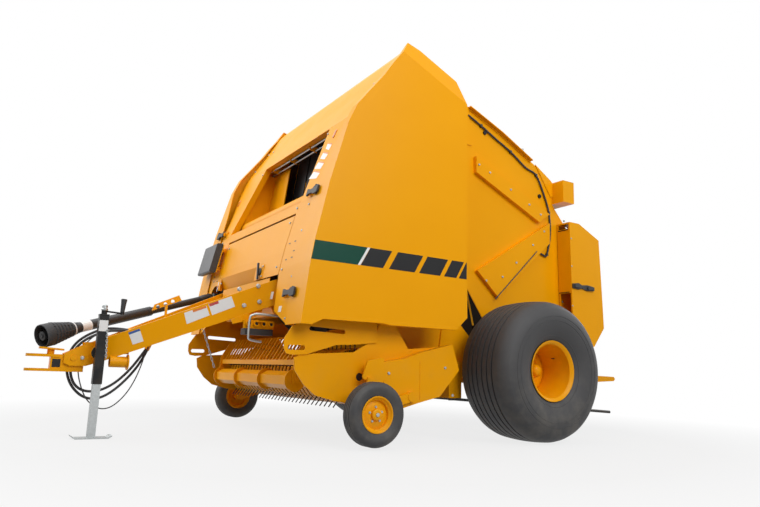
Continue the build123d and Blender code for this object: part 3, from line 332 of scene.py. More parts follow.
def camera():
    """The photograph's camera, fitted to the machine's own points."""
    a, e, r = CAMERA_TURN, CAMERA_PITCH, CAMERA_ROLL
    right = Vector((math.cos(a), math.sin(a), 0))
    ahead = Vector((-math.sin(a) * math.cos(e), math.cos(a) * math.cos(e), math.sin(e)))
    up = right.cross(ahead)
    across = right * math.cos(r) + up * math.sin(r)
    over = up * math.cos(r) - right * math.sin(r)
    turn = Matrix((across, over, -ahead)).transposed().to_4x4()
    data = bpy.data.cameras.new("camera")
    data.sensor_width = 36
    data.lens = CAMERA_LENS
    holder = bpy.data.objects.new("camera", data)
    bpy.context.scene.collection.objects.link(holder)
    holder.matrix_world = Matrix.Translation(CAMERA_PLACE) @ turn
    bpy.context.scene.camera = holder


# ---------------------------------------------------------------- mesh helpers
def cross_axes(way):
    """Two unit directions square to way."""
    way = way.normalized()
    side = Vector((0, 0, 1)).cross(way)
    if side.length < 0.1:
        side = Vector((0, 1, 0)).cross(way)
    side.normalize()
    return side, way.cross(side)


def round_edges(piece, width):
    edge = piece.modifiers.new("edges", "BEVEL")
    edge.width = width / 1000
    edge.segments = 2
    edge.limit_method = "ANGLE"
    edge.angle_limit = math.radians(30)


class Build:
    """Gathers shapes, given in millimetres from the axle, into one mesh piece."""

    def __init__(self):
        self.bm = bmesh.new()

    def skin(self, rings, looped=False):
        """Faces between rings of equal counts, capped unless the last meets the first."""
        loops = [[self.bm.verts.new(at(*p)) for p in ring] for ring in rings]
        count = len(loops[0])
        for a, b in zip(loops, loops[1:] + loops[:1] if looped else loops[1:]):
            for i in range(count):
                j = (i + 1) % count
                self.bm.faces.new((a[i], a[j], b[j], b[i]))
        if not looped:
            self.bm.faces.new(loops[0][::-1])
            self.bm.faces.new(loops[-1])
        return self

    def box(self, x0, x1, y0, y1, z0, z1):
        corners = [(x0, y0), (x1, y0), (x1, y1), (x0, y1)]
        return self.skin([[(x, y, z) for x, y in corners] for z in (z0, z1)])

    def side(self, outline, x0, x1):
        """An outline of (Y, Z) points as thick as x0 to x1."""
        return self.skin([[(x, y, z) for y, z in outline] for x in (x0, x1)])

    def lathe(self, start, way, profile, sides=32):
        """Rings at (distance along way, radius) pairs from start."""
        start = Vector(start)
        way = Vector(way).normalized()
        u, v = cross_axes(way)
        rings = []
        for along, radius in profile:
            ring = []
            for i in range(sides):
                a = 2 * math.pi * i / sides
                ring.append(tuple(start + way * along + (u * math.cos(a) + v * math.sin(a)) * radius))
            rings.append(ring)
        if profile[0] == profile[-1]:
            return self.skin(rings[:-1], looped=True)
        return self.skin(rings)

    def rod(self, p, q, radius, tip=None, sides=16):
        way = Vector(q) - Vector(p)
        return self.lathe(p, way, [(0, radius), (way.length, radius if tip is None else tip)], sides)

    def bolt(self, place, way, flat):
        """A washer and a hex head with chamfered corners."""
        self.lathe(place, way, [(-0.5, flat * 0.62), (2.4, flat * 0.62)], 20)
        base = 2.2
        r = flat * 0.577
        return self.lathe(place, way, [(base, r), (base + flat * 0.30, r), (base + flat * 0.38, r * 0.84)], 6)

    def pipe(self, points, radius, sides=8):
        """A tube through points, with square-cut ends and mitred corners."""
        pts = [Vector(p) for p in points]
        rings = []
        side = None
        for i, p in enumerate(pts):
            before = (p - pts[i - 1]).normalized() if i else (pts[1] - p).normalized()
            after = (pts[i + 1] - p).normalized() if i + 1 < len(pts) else before
            way = (before + after).normalized()
            if side is None:
                side = cross_axes(way)[0]
            side = (side - way * side.dot(way)).normalized()
            other = way.cross(side)
            grow = 1 / max(0.5, way.dot(before))
            ring = []
            for k in range(sides):
                a = 2 * math.pi * k / sides
                ring.append(tuple(p + (side * math.cos(a) + other * math.sin(a)) * radius * grow))
            rings.append(ring)
        return self.skin(rings)

    def done(self, name, material, body, bevel=0.0, angle=38, slot=None):
        """The finished piece: shaded, its edges rounded, riding on its body."""
        bmesh.ops.recalc_face_normals(self.bm, faces=self.bm.faces)
        data = bpy.data.meshes.new(name)
        self.bm.to_mesh(data)
        self.bm.free()
        data.shade_smooth()
        data.set_sharp_from_angle(angle=math.radians(angle))
        data.materials.append(material)
        piece = bpy.data.objects.new(name, data)
        bpy.context.scene.collection.objects.link(piece)
        if bevel:
            round_edges(piece, bevel)
        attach(piece, body)
        return piece


def arc(cy, cz, r, a0, a1, count):
    """Points of an arc in the Y-Z plane, angles in degrees from +Y towards +Z."""
    turns = [math.radians(a0 + (a1 - a0) * i / count) for i in range(count + 1)]
    return [(cy + r * math.cos(t), cz + r * math.sin(t)) for t in turns]


def smooth_line(points, steps=8):
    """Points along a soft curve through the given ones."""
    pts = [Vector(p) for p in points]
    pts = [pts[0] * 2 - pts[1]] + pts + [pts[-1] * 2 - pts[-2]]
    out = []
    for a, b, c, d in zip(pts, pts[1:], pts[2:], pts[3:]):
        for k in range(steps):
            t = k / steps
            out.append(0.5 * ((2 * b) + (c - a) * t + (2 * a - 5 * b + 4 * c - d) * t * t
                              + (3 * b - a - 3 * c + d) * t ** 3))
    out.append(pts[-2])
    return [tuple(p) for p in out]


def outer_x(node):
    """Distance of a CAD node's outer face from the machine's middle plane."""
    low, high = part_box(node)
    return max(abs(low[0]), abs(high[0])) * 1000


BOTH = (("left", 1), ("right", -1))

# ---------------------------------------------------------------- wheels
TYRE_R = (tyre_high[2] - tyre_low[2]) * 500
TYRE_HALF = (tyre_high[0] - tyre_low[0]) * 500
DRAWN_R = 525
DRAWN_HALF = 273
TRACK_HALF = TYRE_X * 1000


def main_tyre(side, sign):
    """Wide implement tyre: flat crown with grooves between ribs, full sidewalls."""
    crown = 168.0
    rib_line = []
    grooves = (-126, -78, -27, 27, 78, 126)
    for g in grooves:
        rib_line += [(g - 6.5, 0), (g - 4.0, -11), (g + 4.0, -11), (g + 6.5, 0)]
    profile = [(-150, 210), (-205, 212), (-226, 236), (-240, 262), (-256, 300), (-268, 345), (-272.5, 392),
               (-266, 430), (-252, 462), (-250, 466), (-226, 492), (-196, 508)]
    for x, drop in [(-crown, 0)] + rib_line + [(crown, 0)]:
        round_off = 9.0 * (x / crown) ** 2
        profile.append((x, DRAWN_R - round_off + drop))
    profile += [(-x, r) for x, r in reversed(profile[:12])]
    scale = TYRE_R / DRAWN_R
    profile = [(x * TYRE_HALF / DRAWN_HALF, r * scale if r > 400 else r) for x, r in profile]
    centre = (sign * TRACK_HALF, 0, AXLE_Z * 1000)
    tyre = Build().lathe(centre, (1, 0, 0), profile + [profile[0]], 144)
    # thin moulding rings on the sidewalls
    for edge in (-1, 1):
        for r, x in ((405, 271.5), (372, 271.5), (262, 240)):
            ring = [(edge * (x - 3), r - 4), (edge * (x + 1.2), r - 2), (edge * (x + 1.2), r + 2),
                    (edge * (x - 3), r + 4)]
            tyre.lathe(centre, (1, 0, 0), ring + [ring[0]], 96)
    piece = tyre.done(f"ribbed_tyre_{side}", TYRE, f"wheel_{side}", 0, 28, slot="tyre_rubber")
    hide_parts(f"main_tyre_{side}")


def main_rim(side, sign):
    """Deep stepped rim, bolted disc well inside, and a hub with a round cap."""
    centre = (sign * TRACK_HALF, 0, AXLE_Z * 1000)
    way = (sign, 0, 0)
    barrel = [(-225, 224), (-225, 216), (-210, 200), (-168, 200), (-150, 178), (60, 178), (84, 186),
              (140, 190), (170, 200), (205, 202), (219, 214), (226, 224), (229, 222), (227, 214),
              (209, 196), (172, 193), (144, 183), (88, 179), (62, 171), (-150, 171), (-172, 193),
              (-214, 193), (-231, 212), (-231, 224)]
    rim = Build().lathe(centre, way, barrel + [barrel[0]], 96)
    disc = [(-60, 173), (-46, 172), (-30, 160), (-22, 138), (-22, 104), (-34, 92), (-34, 52), (-42, 52),
            (-42, 94), (-30, 106), (-30, 138), (-38, 156), (-54, 166)]
    rim.lathe(centre, way, disc + [disc[0]], 72)
    hub = [(-110, 44), (-110, 58), (-60, 62), (-46, 88), (-30, 88), (-24, 58), (30, 52), (34, 48), (34, 20)]
    rim.lathe(centre, way, hub, 48)
    cap = [(30, 47), (58, 46), (72, 40), (82, 28), (86, 12), (87, 2)]
    rim.lathe(centre, way, cap, 40)
    piece = rim.done(f"deep_rim_{side}", YELLOW, f"wheel_{side}", 0, 34, slot="yellow_paint")
    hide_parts(f"main_rim_{side}")
    studs = Build()
    for k in range(8):
        a = math.radians(45 * k + 12)
        place = (sign * (TRACK_HALF - 30), 70 * math.cos(a), AXLE_Z * 1000 + 70 * math.sin(a))
        studs.bolt(place, way, 24)
        tip = (place[0] + sign * 22, place[1], place[2])
        studs.rod(place, tip, 7, sides=12)
    studs.done(f"wheel_nuts_{side}", YELLOW, f"wheel_{side}", 0.6, slot="yellow_paint")
    valve = Build().rod((sign * (TRACK_HALF + 64), 150, AXLE_Z * 1000 + 98),
                        (sign * (TRACK_HALF + 104), 146, AXLE_Z * 1000 + 96), 4.5, 3.6, 12)
    valve.done(f"tyre_valve_{side}", RUBBER, f"wheel_{side}", slot="tyre_rubber")


gauge_low, gauge_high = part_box("gauge_tyre_left")
GAUGE_X = (gauge_low[0] + gauge_high[0]) * 500
GAUGE_Y = ((gauge_low[1] + gauge_high[1]) / 2 - AXLE_Y) * 1000
GAUGE_Z = (gauge_low[2] + gauge_high[2]) * 500
GAUGE_R = (gauge_high[2] - gauge_low[2]) * 500


def gauge_wheel(side, sign):
    """Small ribbed tyre, stepped rim with its bolts, and the axle's nut."""
    centre = (sign * GAUGE_X, GAUGE_Y, GAUGE_Z)
    half = (gauge_high[0] - gauge_low[0]) * 500
    s = GAUGE_R
    line = [(-36, 110), (-46, 116), (-54, 132), (-60, 152), (-half, 170), (-57, 184), (-48, 192)]
    ribs = []
    for g in (-30, -10, 10, 30):
        ribs += [(g - 3.5, s - 0.6), (g - 2, s - 6), (g + 2, s - 6), (g + 3.5, s - 0.6)]
    profile = line + [(-42, s - 3)] + ribs + [(42, s - 3)] + [(-x, r) for x, r in reversed(line)]
    tyre = Build().lathe(centre, (1, 0, 0), profile + [profile[0]], 96)
    piece = tyre.done(f"ribbed_gauge_tyre_{side}", TYRE, f"gauge_wheel_{side}", 0, 30, slot="tyre_rubber")
    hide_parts(f"gauge_tyre_{side}")
    rim = Build()
    barrel = [(-46, 116), (-46, 110), (-36, 104), (-30, 96), (4, 94), (28, 96), (34, 104), (46, 110),
              (48, 115), (50, 112), (48, 106), (37, 100), (30, 90), (4, 88), (-33, 90), (-38, 98),
              (-48, 107), (-48, 116)]
    rim.lathe(centre, (sign, 0, 0), barrel + [barrel[0]], 72)
    disc = [(6, 92), (12, 90), (14, 76), (22, 60), (22, 34), (16, 34), (16, 58), (8, 74), (2, 90)]
    rim.lathe(centre, (sign, 0, 0), disc + [disc[0]], 60)
    hub = [(-34, 24), (-34, 34), (22, 36), (40, 34), (44, 28), (44, 18)]
    rim.lathe(centre, (sign, 0, 0), hub, 40)
    piece = rim.done(f"gauge_rim_{side}_shape", YELLOW, f"gauge_wheel_{side}", 0, 34, slot="yellow_paint")
    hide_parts(f"gauge_rim_{side}")
    nuts = Build()
    for k in range(5):
        a = math.radians(72 * k + 20)
        nuts.bolt((sign * (GAUGE_X + 22), GAUGE_Y + 47 * math.cos(a), GAUGE_Z + 47 * math.sin(a)),
                  (sign, 0, 0), 13)
    nuts.done(f"gauge_nuts_{side}", ZINC, f"gauge_wheel_{side}", 0.4, slot="zinc_plate")
    cap = Build()
    cap.bolt((sign * (GAUGE_X + 40), GAUGE_Y, GAUGE_Z), (sign, 0, 0), 24)
    cap.done(f"gauge_axle_nut_{side}", ZINC, "pickup", 0.5, slot="zinc_plate")


# ---------------------------------------------------------------- side shields
SHIELD_OUT = outer_x("side_shield_left")
BAND_LOW, BAND_HIGH = 1163.0, 1290.0


def band_front(z):
    """Y of the shield's front edge at height z, within the band."""
    return -1914 + 21 * (z - BAND_LOW) / (BAND_HIGH - BAND_LOW)


SLANT = 71.0
SHIELD_REAR = -646.0
GREEN_END = -1501.0
PALE_END = -1481.0
BLACK_BLOCKS = ((-1479, -1305), (-1256, -1043), (-1005, -821), (-784, -673))
LAST_BLOCK = -650.0


def stripe_band(side, sign):
    """The band of colour: green at the front, a pale line, then slanted black blocks."""
    low, high = BAND_LOW + 1, BAND_HIGH - 1
    x = sign * (SHIELD_OUT + 0.2)
    skin = sign * 0.9
    green = Build().side([(band_front(low) + 3, low), (GREEN_END - SLANT, low), (GREEN_END, high),
                          (band_front(high) + 3, high)], x, x + skin)
    green.done(f"green_stripe_{side}", GREEN, f"shield_{side}")
    pale = Build().side([(GREEN_END - SLANT, low), (PALE_END - SLANT, low), (PALE_END, high),
                         (GREEN_END, high)], x, x + skin)
    pale.done(f"pale_stripe_{side}", WHITE, f"shield_{side}")
    black = Build()
    for y0, y1 in BLACK_BLOCKS:
        black.side([(y0 - SLANT, low), (y1 - SLANT, low), (y1, high), (y0, high)], x, x + skin)
    black.side([(LAST_BLOCK - SLANT, low), (SHIELD_REAR, low), (SHIELD_REAR, high), (LAST_BLOCK, high)],
               x, x + skin)
    black.done(f"black_stripes_{side}", BLACK, f"shield_{side}", slot="black_paint")


for side, sign in BOTH:
    main_tyre(side, sign)
    main_rim(side, sign)
    gauge_wheel(side, sign)
    stripe_band(side, sign)


# ---------------------------------------------------------------- hoses at the tongue
# X, radius, and (Y, Z) points of each route
HOSES = {
    "hose_upper": (-98.0, 9.0, [
        (-2712, 708), (-2795, 713), (-2928, 671), (-3023, 602), (-3064, 522), (-3061, 415),
        (-3036, 339), (-2989, 294), (-2923, 278), (-2843, 293), (-2759, 345), (-2675, 434),
        (-2614, 525), (-2579, 584)]),
    "hose_lower": (-124.0, 9.0, [
        (-2712, 715), (-2831, 728), (-2941, 686), (-3035, 618), (-3080, 530), (-3081, 414),
        (-3046, 323), (-2981, 255), (-2913, 228), (-2833, 240), (-2744, 305), (-2655, 406),
        (-2595, 502), (-2565, 576)]),
    "light_cable": (-80.0, 4.0, [
        (-2712, 697), (-2808, 702), (-2920, 676), (-2990, 600), (-3018, 510), (-3014, 405),
        (-2981, 302), (-2941, 226), (-2886, 181), (-2832, 162), (-2767, 181), (-2692, 259),
        (-2641, 355), (-2606, 460), (-2587, 545), (-2568, 600)]),
}


def hose(name, x, radius, points):
    """A free cord on one smooth curve, both its ends in the tongue's sleeves."""
    route = [at(x, y, z) for y, z in points]
    data = bpy.data.curves.new(name, "CURVE")
    data.dimensions = "3D"
    data.bevel_depth = radius / 1000
    data.bevel_resolution = 5
    data.use_fill_caps = True
    data.resolution_u = 10
    spline = data.splines.new("NURBS")
    spline.points.add(len(route) - 1)
    for point, place in zip(spline.points, route):
        point.co = (*place, 1)
    spline.order_u = 3
    spline.use_endpoint_u = True
    data.materials.append(RUBBER)
    piece = bpy.data.objects.new(name + "_line", data)
    bpy.context.scene.collection.objects.link(piece)
    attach(piece, "chassis")
    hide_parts(name)


for name, (x, radius, points) in HOSES.items():
    hose(name, x, radius, points)


# ---------------------------------------------------------------- front face
FRONT = ((-1948, 750), (-1902, 1163), (-1881, 1290), (-1805, 1640), (-1550, 2284), (-1375, 2558),
         (-1310, 2672), (-1244, 2783))
SHIELD_LINE = ((-1960, 756), (-1914, 1163), (-1893, 1290), (-1805, 1698), (-1683, 2142),
               (-1620, 2282), (-1410, 2558), (-1337, 2672), (-1256, 2783))


def along(line, z):
    """Y of a front line at height z."""
    for (y0, z0), (y1, z1) in zip(line, line[1:]):
        if z <= z1:
            return y0 + (y1 - y0) * (z - z0) / (z1 - z0)
    return line[-1][0]


def face_patch(build, outline, proud=0.0, thick=0.9):
    """A plate of (X, Z) points that lies on the front line."""
    near = [(x, along(FRONT, z) - proud, z) for x, z in outline]
    far = [(x, y - thick, z) for x, y, z in near]
    return build.skin([near, far])


def slotted(build, x0, x1, z0, z1, thick=0.9):
    """The same for a small upright or level stadium."""
    r = min(x1 - x0, z1 - z0) / 2
    ring = []
    for k in range(20):
        a = 2 * math.pi * k / 20
        cx = (x1 - r) if math.cos(a) > 0 else (x0 + r)
        cz = (z1 - r) if math.sin(a) > 0 else (z0 + r)
        ring.append((cx + r * math.cos(a), cz + r * math.sin(a)))
    return face_patch(build, ring, thick=thick)


# Z, and X of the inner and outer end, of each latch
LATCHES = ((1672, 838, 1036), (968, 818, 1030))


def shield_latch(side, sign, number, z, inner, outer):
    """Rubber draw latch: a pull tab on the shield and its yellow keeper on the pillar."""
    y = along(SHIELD_LINE, z) - 7
    lean = (along(SHIELD_LINE, z + 40) - along(SHIELD_LINE, z - 40)) / 80
    tab = [(outer, -24), (outer, 24), (outer - 14, 30), (outer - 62, 30), (outer - 80, 17), (inner + 62, 17),
           (inner + 52, 26), (inner + 34, 26), (inner + 34, -26), (inner + 52, -26), (inner + 62, -17),
           (outer - 80, -17), (outer - 62, -30), (outer - 14, -30)]
    strap = Build()
    near = [(sign * x, y + dz * lean, z + dz) for x, dz in tab]
    strap.skin([near, [(x, yy - 15, zz) for x, yy, zz in near]])
    strap.rod((sign * (outer - 34), y - 4, z - 34), (sign * (outer - 34), y - 4, z + 34), 9)
    strap.done(f"latch_strap_{number}_{side}", RUBBER, f"shield_{side}", 3, slot="guard_plastic")
    keeper = Build()
    back = along(FRONT, z)
    keeper.box(sign * (inner - 8), sign * (inner + 60), back - 12, back + 1, z - 24, z + 24)
    keeper.box(sign * (inner + 30), sign * (inner + 44), y - 8, back, z - 16, z + 16)
    keeper.bolt((sign * (inner + 8), back - 12, z), (0, -1, 0), 13)
    keeper.done(f"latch_keeper_{number}_{side}", YELLOW, "chassis", 1.5, slot="yellow_paint")


def pillar_trim():
    """Blank labels, the lamp, black patches painted as the shade in small slots, and bolts on the two
    pillars.
    """
    white = Build()
    orange = Build()
    top = ((826, 2081), (731, 2117), (737, 2074), (813, 2040))
    low = ((845, 1843), (707, 1891), (673, 1840), (822, 1806))
    for k in range(4):
        t = k / 3
        spots = [(a[0] + (b[0] - a[0]) * t, a[1] + (b[1] - a[1]) * t) for a, b in zip(top, low)]
        face_patch(white, spots)
        (x0, z0), (x1, z1) = spots[0], spots[1]
        face_patch(orange, [(x0, z0 + 3), (x1, z1 + 3), (x1, z1 + 11), (x0, z0 + 11)])
    face_patch(white, [(559, 955), (615, 948), (621, 1000), (563, 1006)])
    face_patch(white, [(751, 849), (800, 849), (806, 889), (756, 889)])
    face_patch(white, [(-692, 1118), (-676, 1118), (-664, 1202), (-680, 1202)])
    white.done("pillar_labels", WHITE, "chassis")
    orange.done("pillar_label_heads", ORANGE, "chassis")
    red = Build()
    face_patch(red, [(-690, 1150), (-674, 1150), (-671, 1170), (-687, 1170)], proud=1)
    red.done("pillar_label_red", RED, "chassis")
    lens = Build()
    slotted(lens, 776, 800, 2150, 2222, thick=6)
    slotted(lens, -1000, -974, 1982, 2050, thick=6)
    lens.done("pillar_lamps", AMBER, "chassis", 1.5)
    # black stadium patches: painted shade standing in for the dark inside of the small slots
    dark = Build()
    for x, z in ((733, 1332), (823, 1335), (838, 1265), (826, 1220), (735, 1215)):
        slotted(dark, x - 13, x + 13, z - 4, z + 4)
        slotted(dark, -x - 13, -x + 13, z - 4, z + 4)
    dark.done("pillar_slot_shade", BLACK, "chassis", slot="black_paint")
    bolts = Build()
    for z in (800, 1080, 1400, 1590):
        for sign in (1, -1):
            bolts.bolt((sign * 893, along(FRONT, z), z), (0, -1, 0), 13)
    for x, z in ((700, 1600), (700, 1150), (646, 2230), (-646, 2230)):
        bolts.bolt((x, along(FRONT, z), z), (0, -1, 0.25), 13)
    bolts.done("pillar_bolts", ZINC, "chassis", 0.4, slot="zinc_plate")


def door_trim():
    """The door's latch plate with its handle, and bolts on the plate and the door."""
    plate = Build()
    face_patch(plate, [(236, 1128), (352, 1128), (352, 1232), (236, 1232)], thick=4)
    plate.done("door_latch_plate", YELLOW, "door", 1.2, slot="yellow_paint")
    handle = Build()
    y = along(FRONT, 1180) - 5
    handle.lathe((294, y, 1180), (0, -1, 0.1), [(0, 30), (6, 30), (9, 24), (12, 22)], 28)
    handle.box(285, 303, y - 24, y - 10, 1120, 1246)
    handle.done("door_latch_handle", PLASTIC, "door", 3, slot="guard_plastic")
    bolts = Build()
    for x, z in ((250, 1142), (338, 1142), (250, 1218), (338, 1218)):
        bolts.bolt((x, along(FRONT, z) - 4, z), (0, -1, 0.1), 10)
    for x in (-640, 640):
        for z in (1180, 1500):
            bolts.bolt((x * (0.93 if z < 1200 else 1), along(FRONT, z), z), (0, -1, 0.1), 12)
    bolts.done("door_bolts", ZINC, "door", 0.4, slot="zinc_plate")


def bay_trim():
    """Net bay: two bright rods under the hood's lip on small yellow brackets."""
    rods = Build()
    for y, z in ((-1492, 2268), (-1452, 2250)):
        rods.rod((-690, y, z), (690, y, z), 8, sides=16)
    rods.done("net_guide_rods", ZINC, "chassis", slot="zinc_plate")
    holders = Build()
    for x in (-560, -190, 190, 560):
        holders.side([(-1512, 2282), (-1506, 2254), (-1440, 2236), (-1432, 2282)], x - 3, x + 3)
    holders.done("net_rod_brackets", YELLOW, "chassis", 0.8, slot="yellow_paint")


def hood_trim():
    """Bolts at the hood's ends."""
    bolts = Build()
    for x, z in ((-1060, 2582), (-943, 2582), (1060, 2582), (943, 2582), (-1060, 2380), (1060, 2380)):
        bolts.bolt((x, along(FRONT, z), z), (0, -0.85, 0.5), 14)
    bolts.done("hood_bolts", ZINC, "chassis", 0.4, slot="zinc_plate")


for side, sign in BOTH:
    for number, (z, inner, outer) in enumerate(LATCHES):
        shield_latch(side, sign, number, z, inner, outer)
pillar_trim()
door_trim()
bay_trim()
hood_trim()


# ---------------------------------------------------------------- tongue
def arm_out(y):
    """X of the left arm's outer face at Y."""
    return 108 + (y + 2946) * 482 / 1056


def arm_patch(build, outline, proud=0.0, thick=0.9):
    """A plate of (Y, Z) points that lies on the left arm's outer face."""
    near = [(arm_out(y) + proud, y, z) for y, z in outline]
    return build.skin([near, [(x + thick, y, z) for x, y, z in near]])


def part_way(a, b, t):
    """The point a share t of the way from a to b."""
    return (a[0] + (b[0] - a[0]) * t, a[1] + (b[1] - a[1]) * t)


def header(corners, start, end, depth):
    """The strip at a label's top edge, from start to end along it."""
    top_left, top_right, low_right, low_left = corners
    a, b = part_way(top_left, top_right, start), part_way(top_left, top_right, end)
    c, d = part_way(low_left, low_right, start), part_way(low_left, low_right, end)
    return [a, b, part_way(b, d, depth), part_way(a, c, depth)]


ARM_LABELS = {
    "front": ((-2767, 682), (-2703, 712), (-2672, 629), (-2733, 603)),
    "middle": ((-2447, 830), (-2317, 888), (-2291, 822), (-2425, 755)),
    "rear": ((-2304, 898), (-2167, 960), (-2140, 889), (-2276, 823)),
}


def arm_labels():
    """Three blank labels on the left arm, each with its coloured strip."""
    white = Build()
    for corners in ARM_LABELS.values():
        arm_patch(white, corners)
    white.done("tongue_labels", WHITE, "chassis")
    heads = (("front", 0, 1, 0.18, BLUE), ("middle", 0.38, 0.98, 0.22, ORANGE),
             ("rear", 0.02, 0.42, 0.24, RED))
    for name, start, end, depth, colour in heads:
        strip = Build()
        arm_patch(strip, header(ARM_LABELS[name], start, end, depth), proud=0.9, thick=0.5)
        strip.done(f"tongue_label_head_{name}", colour, "chassis")


def arm_hardware():
    """Bolts, folded brackets, the coupler block with its ports and the painted shade in their bores, and the
    stand bar.
    """
    bolts = Build()
    for y, z in ((-2121, 1012), (-2004, 1040), (-2084, 900), (-1990, 930)):
        bolts.bolt((arm_out(y), y, z), (1, 0, 0), 26)
    bolts.done("tongue_bolts", ZINC, "chassis", 0.8, slot="zinc_plate")
    # folded plate under the arm that carries the coupler block
    plate = Build()
    plate.side([(-1950, 895), (-2115, 824), (-2174, 793), (-2160, 766), (-2040, 800), (-1955, 860)], 505, 511)
    plate.box(505, 600, -2010, -1950, 788, 794)
    # storage stub for the jack: a short tube on the arm with a flange at its rear end
    plate.lathe((150, -2860, 486), (0, 1, 0), [(0, 30), (0, 36), (110, 36), (110, 52), (118, 52), (118, 30),
                                                (0, 30)], 40)
    plate.done("tongue_bracket", YELLOW, "chassis", 1.2, slot="yellow_paint")
    block = Build()
    block.box(470, 556, -2085, -1880, 700, 742)
    block.done("coupler_block", CAST, "chassis", 3, slot="guard_plastic")
    ports = Build()
    # dark discs at the bottom of the ports: painted shade standing in for the shade deep in each bore
    bore_shade = Build()
    for k in range(4):
        y = -2062 + 54 * k
        ports.lathe((556, y, 776), (1, 0, 0.1),
                    [(-30, 18), (-2, 18), (0, 22), (12, 22), (12, 12), (-2, 12)], 28)
        bore_shade.lathe((556, y, 776), (1, 0, 0.1), [(-4, 12), (4, 12)], 24)
    ports.box(520, 550, -2090, -1876, 742, 800)
    ports.done("coupler_ports", YELLOW, "chassis", 1, slot="yellow_paint")
    bore_shade.done("coupler_port_bore_shade", RUBBER, "chassis", slot="guard_plastic")
    # bright stand bar bent like a hook in front of the ports
    bar = Build()
    hook = [(640, -1820, 830), (630, -2010, 838), (622, -2058, 830), (618, -2078, 806), (612, -2080, 700),
            (606, -2066, 664), (596, -1980, 652)]
    bar.pipe(smooth_line(hook, 6), 8, 12)
    bar.done("stand_bar", ZINC, "chassis", slot="zinc_plate")


def chain(name, start, end, links, wire, body):
    """Welded chain hung straight between two points, links turned by quarter turns."""
    a, b = Vector(start), Vector(end)
    way = (b - a).normalized()
    u, v = cross_axes(way)
    pitch = (b - a).length / links
    half, wide = pitch / 2 + wire * 0.9, wire * 2.1
    steel = Build()
    for k in range(links):
        across = u if k % 2 else v
        middle = a + way * pitch * (k + 0.5)
        ring = []
        for i in range(14):
            t = 2 * math.pi * i / 14
            offset = way * ((half - wide) * (1 if math.cos(t) > 0 else -1) + wide * math.cos(t))
            ring.append(middle + offset + across * wide * math.sin(t))
        ring.append(ring[0])
        steel.pipe([tuple(p) for p in ring], wire, 6)
    steel.done(name, ZINC, body, slot="zinc_plate")


def jack_trim():
    """Crank hardware, a blank label, and the jack's cap."""
    x, y = 190, -2930
    knob = Build()
    knob.lathe((x, y, 818), (0, 0, 1), [(0, 20), (8, 22), (16, 16), (24, 18), (32, 18), (38, 10)], 24)
    knob.rod((x - 26, y, 836), (x + 26, y, 836), 7)
    knob.done("jack_crank_boss", ZINC, "chassis", 0.8, slot="zinc_plate")
    grip = Build()
    grip.lathe((x, y + 112, 816), (0, 0.05, 1), [(0, 13.4), (60, 17), (84, 20), (88, 17)], 28)
    grip.done("jack_crank_grip", RUBBER, "chassis", slot="guard_plastic")
    label = Build()
    label.box(x + 29, x + 29.9, y - 27, y + 27, 680, 752)
    label.done("jack_label", WHITE, "chassis")
    cap = Build()
    cap.box(x - 31, x + 31, y - 31, y + 31, 784, 793)
    cap.done("jack_cap", BLACK, "chassis", 2, slot="black_paint")


def hitch_trim():
    """Ring plate on the clevis, its block between the plates, and bolts."""
    ring = Build()
    line = [(-3272, 30), (-3262, 40), (-3240, 44), (-3130, 34), (-3120, 0), (-3130, -34), (-3240, -44),
            (-3262, -40), (-3272, -30)]
    ring.skin([[(x, y, 572 - (y + 3330) * 0.06 - dz) for y, x in line] for dz in (0, 12)])
    ring.rod((0, -3200, 523), (0, -3200, 556), 22)
    ring.done("hitch_ring_plate", YELLOW, "chassis", 2, slot="yellow_paint")
    pad = Build()
    pad.box(46, 47.5, -3190, -3140, 440, 492)
    pad.done("hitch_blank_plate", BLACK, "chassis", slot="black_paint")
    nuts = Build()
    nuts.bolt((66, -3014, 505), (1, 0, 0), 20)
    nuts.bolt((-66, -3014, 505), (-1, 0, 0), 20)
    nuts.done("hitch_bolts", ZINC, "chassis", 0.6, slot="zinc_plate")


arm_labels()
arm_hardware()
jack_trim()
hitch_trim()
chain("jack_chain", (224, -2905, 690), (224, -2895, 500), 12, 2.4, "chassis")


# ---------------------------------------------------------------- driveline
PTO_REAR = Vector((-734, -1952, 1067))
PTO_FRONT = Vector((0, -3263, 636))
PTO_WAY = (PTO_FRONT - PTO_REAR).normalized()
PTO_LENGTH = (PTO_FRONT - PTO_REAR).length
BELL_LENGTH = 236
SLEEVE_START = 0.42


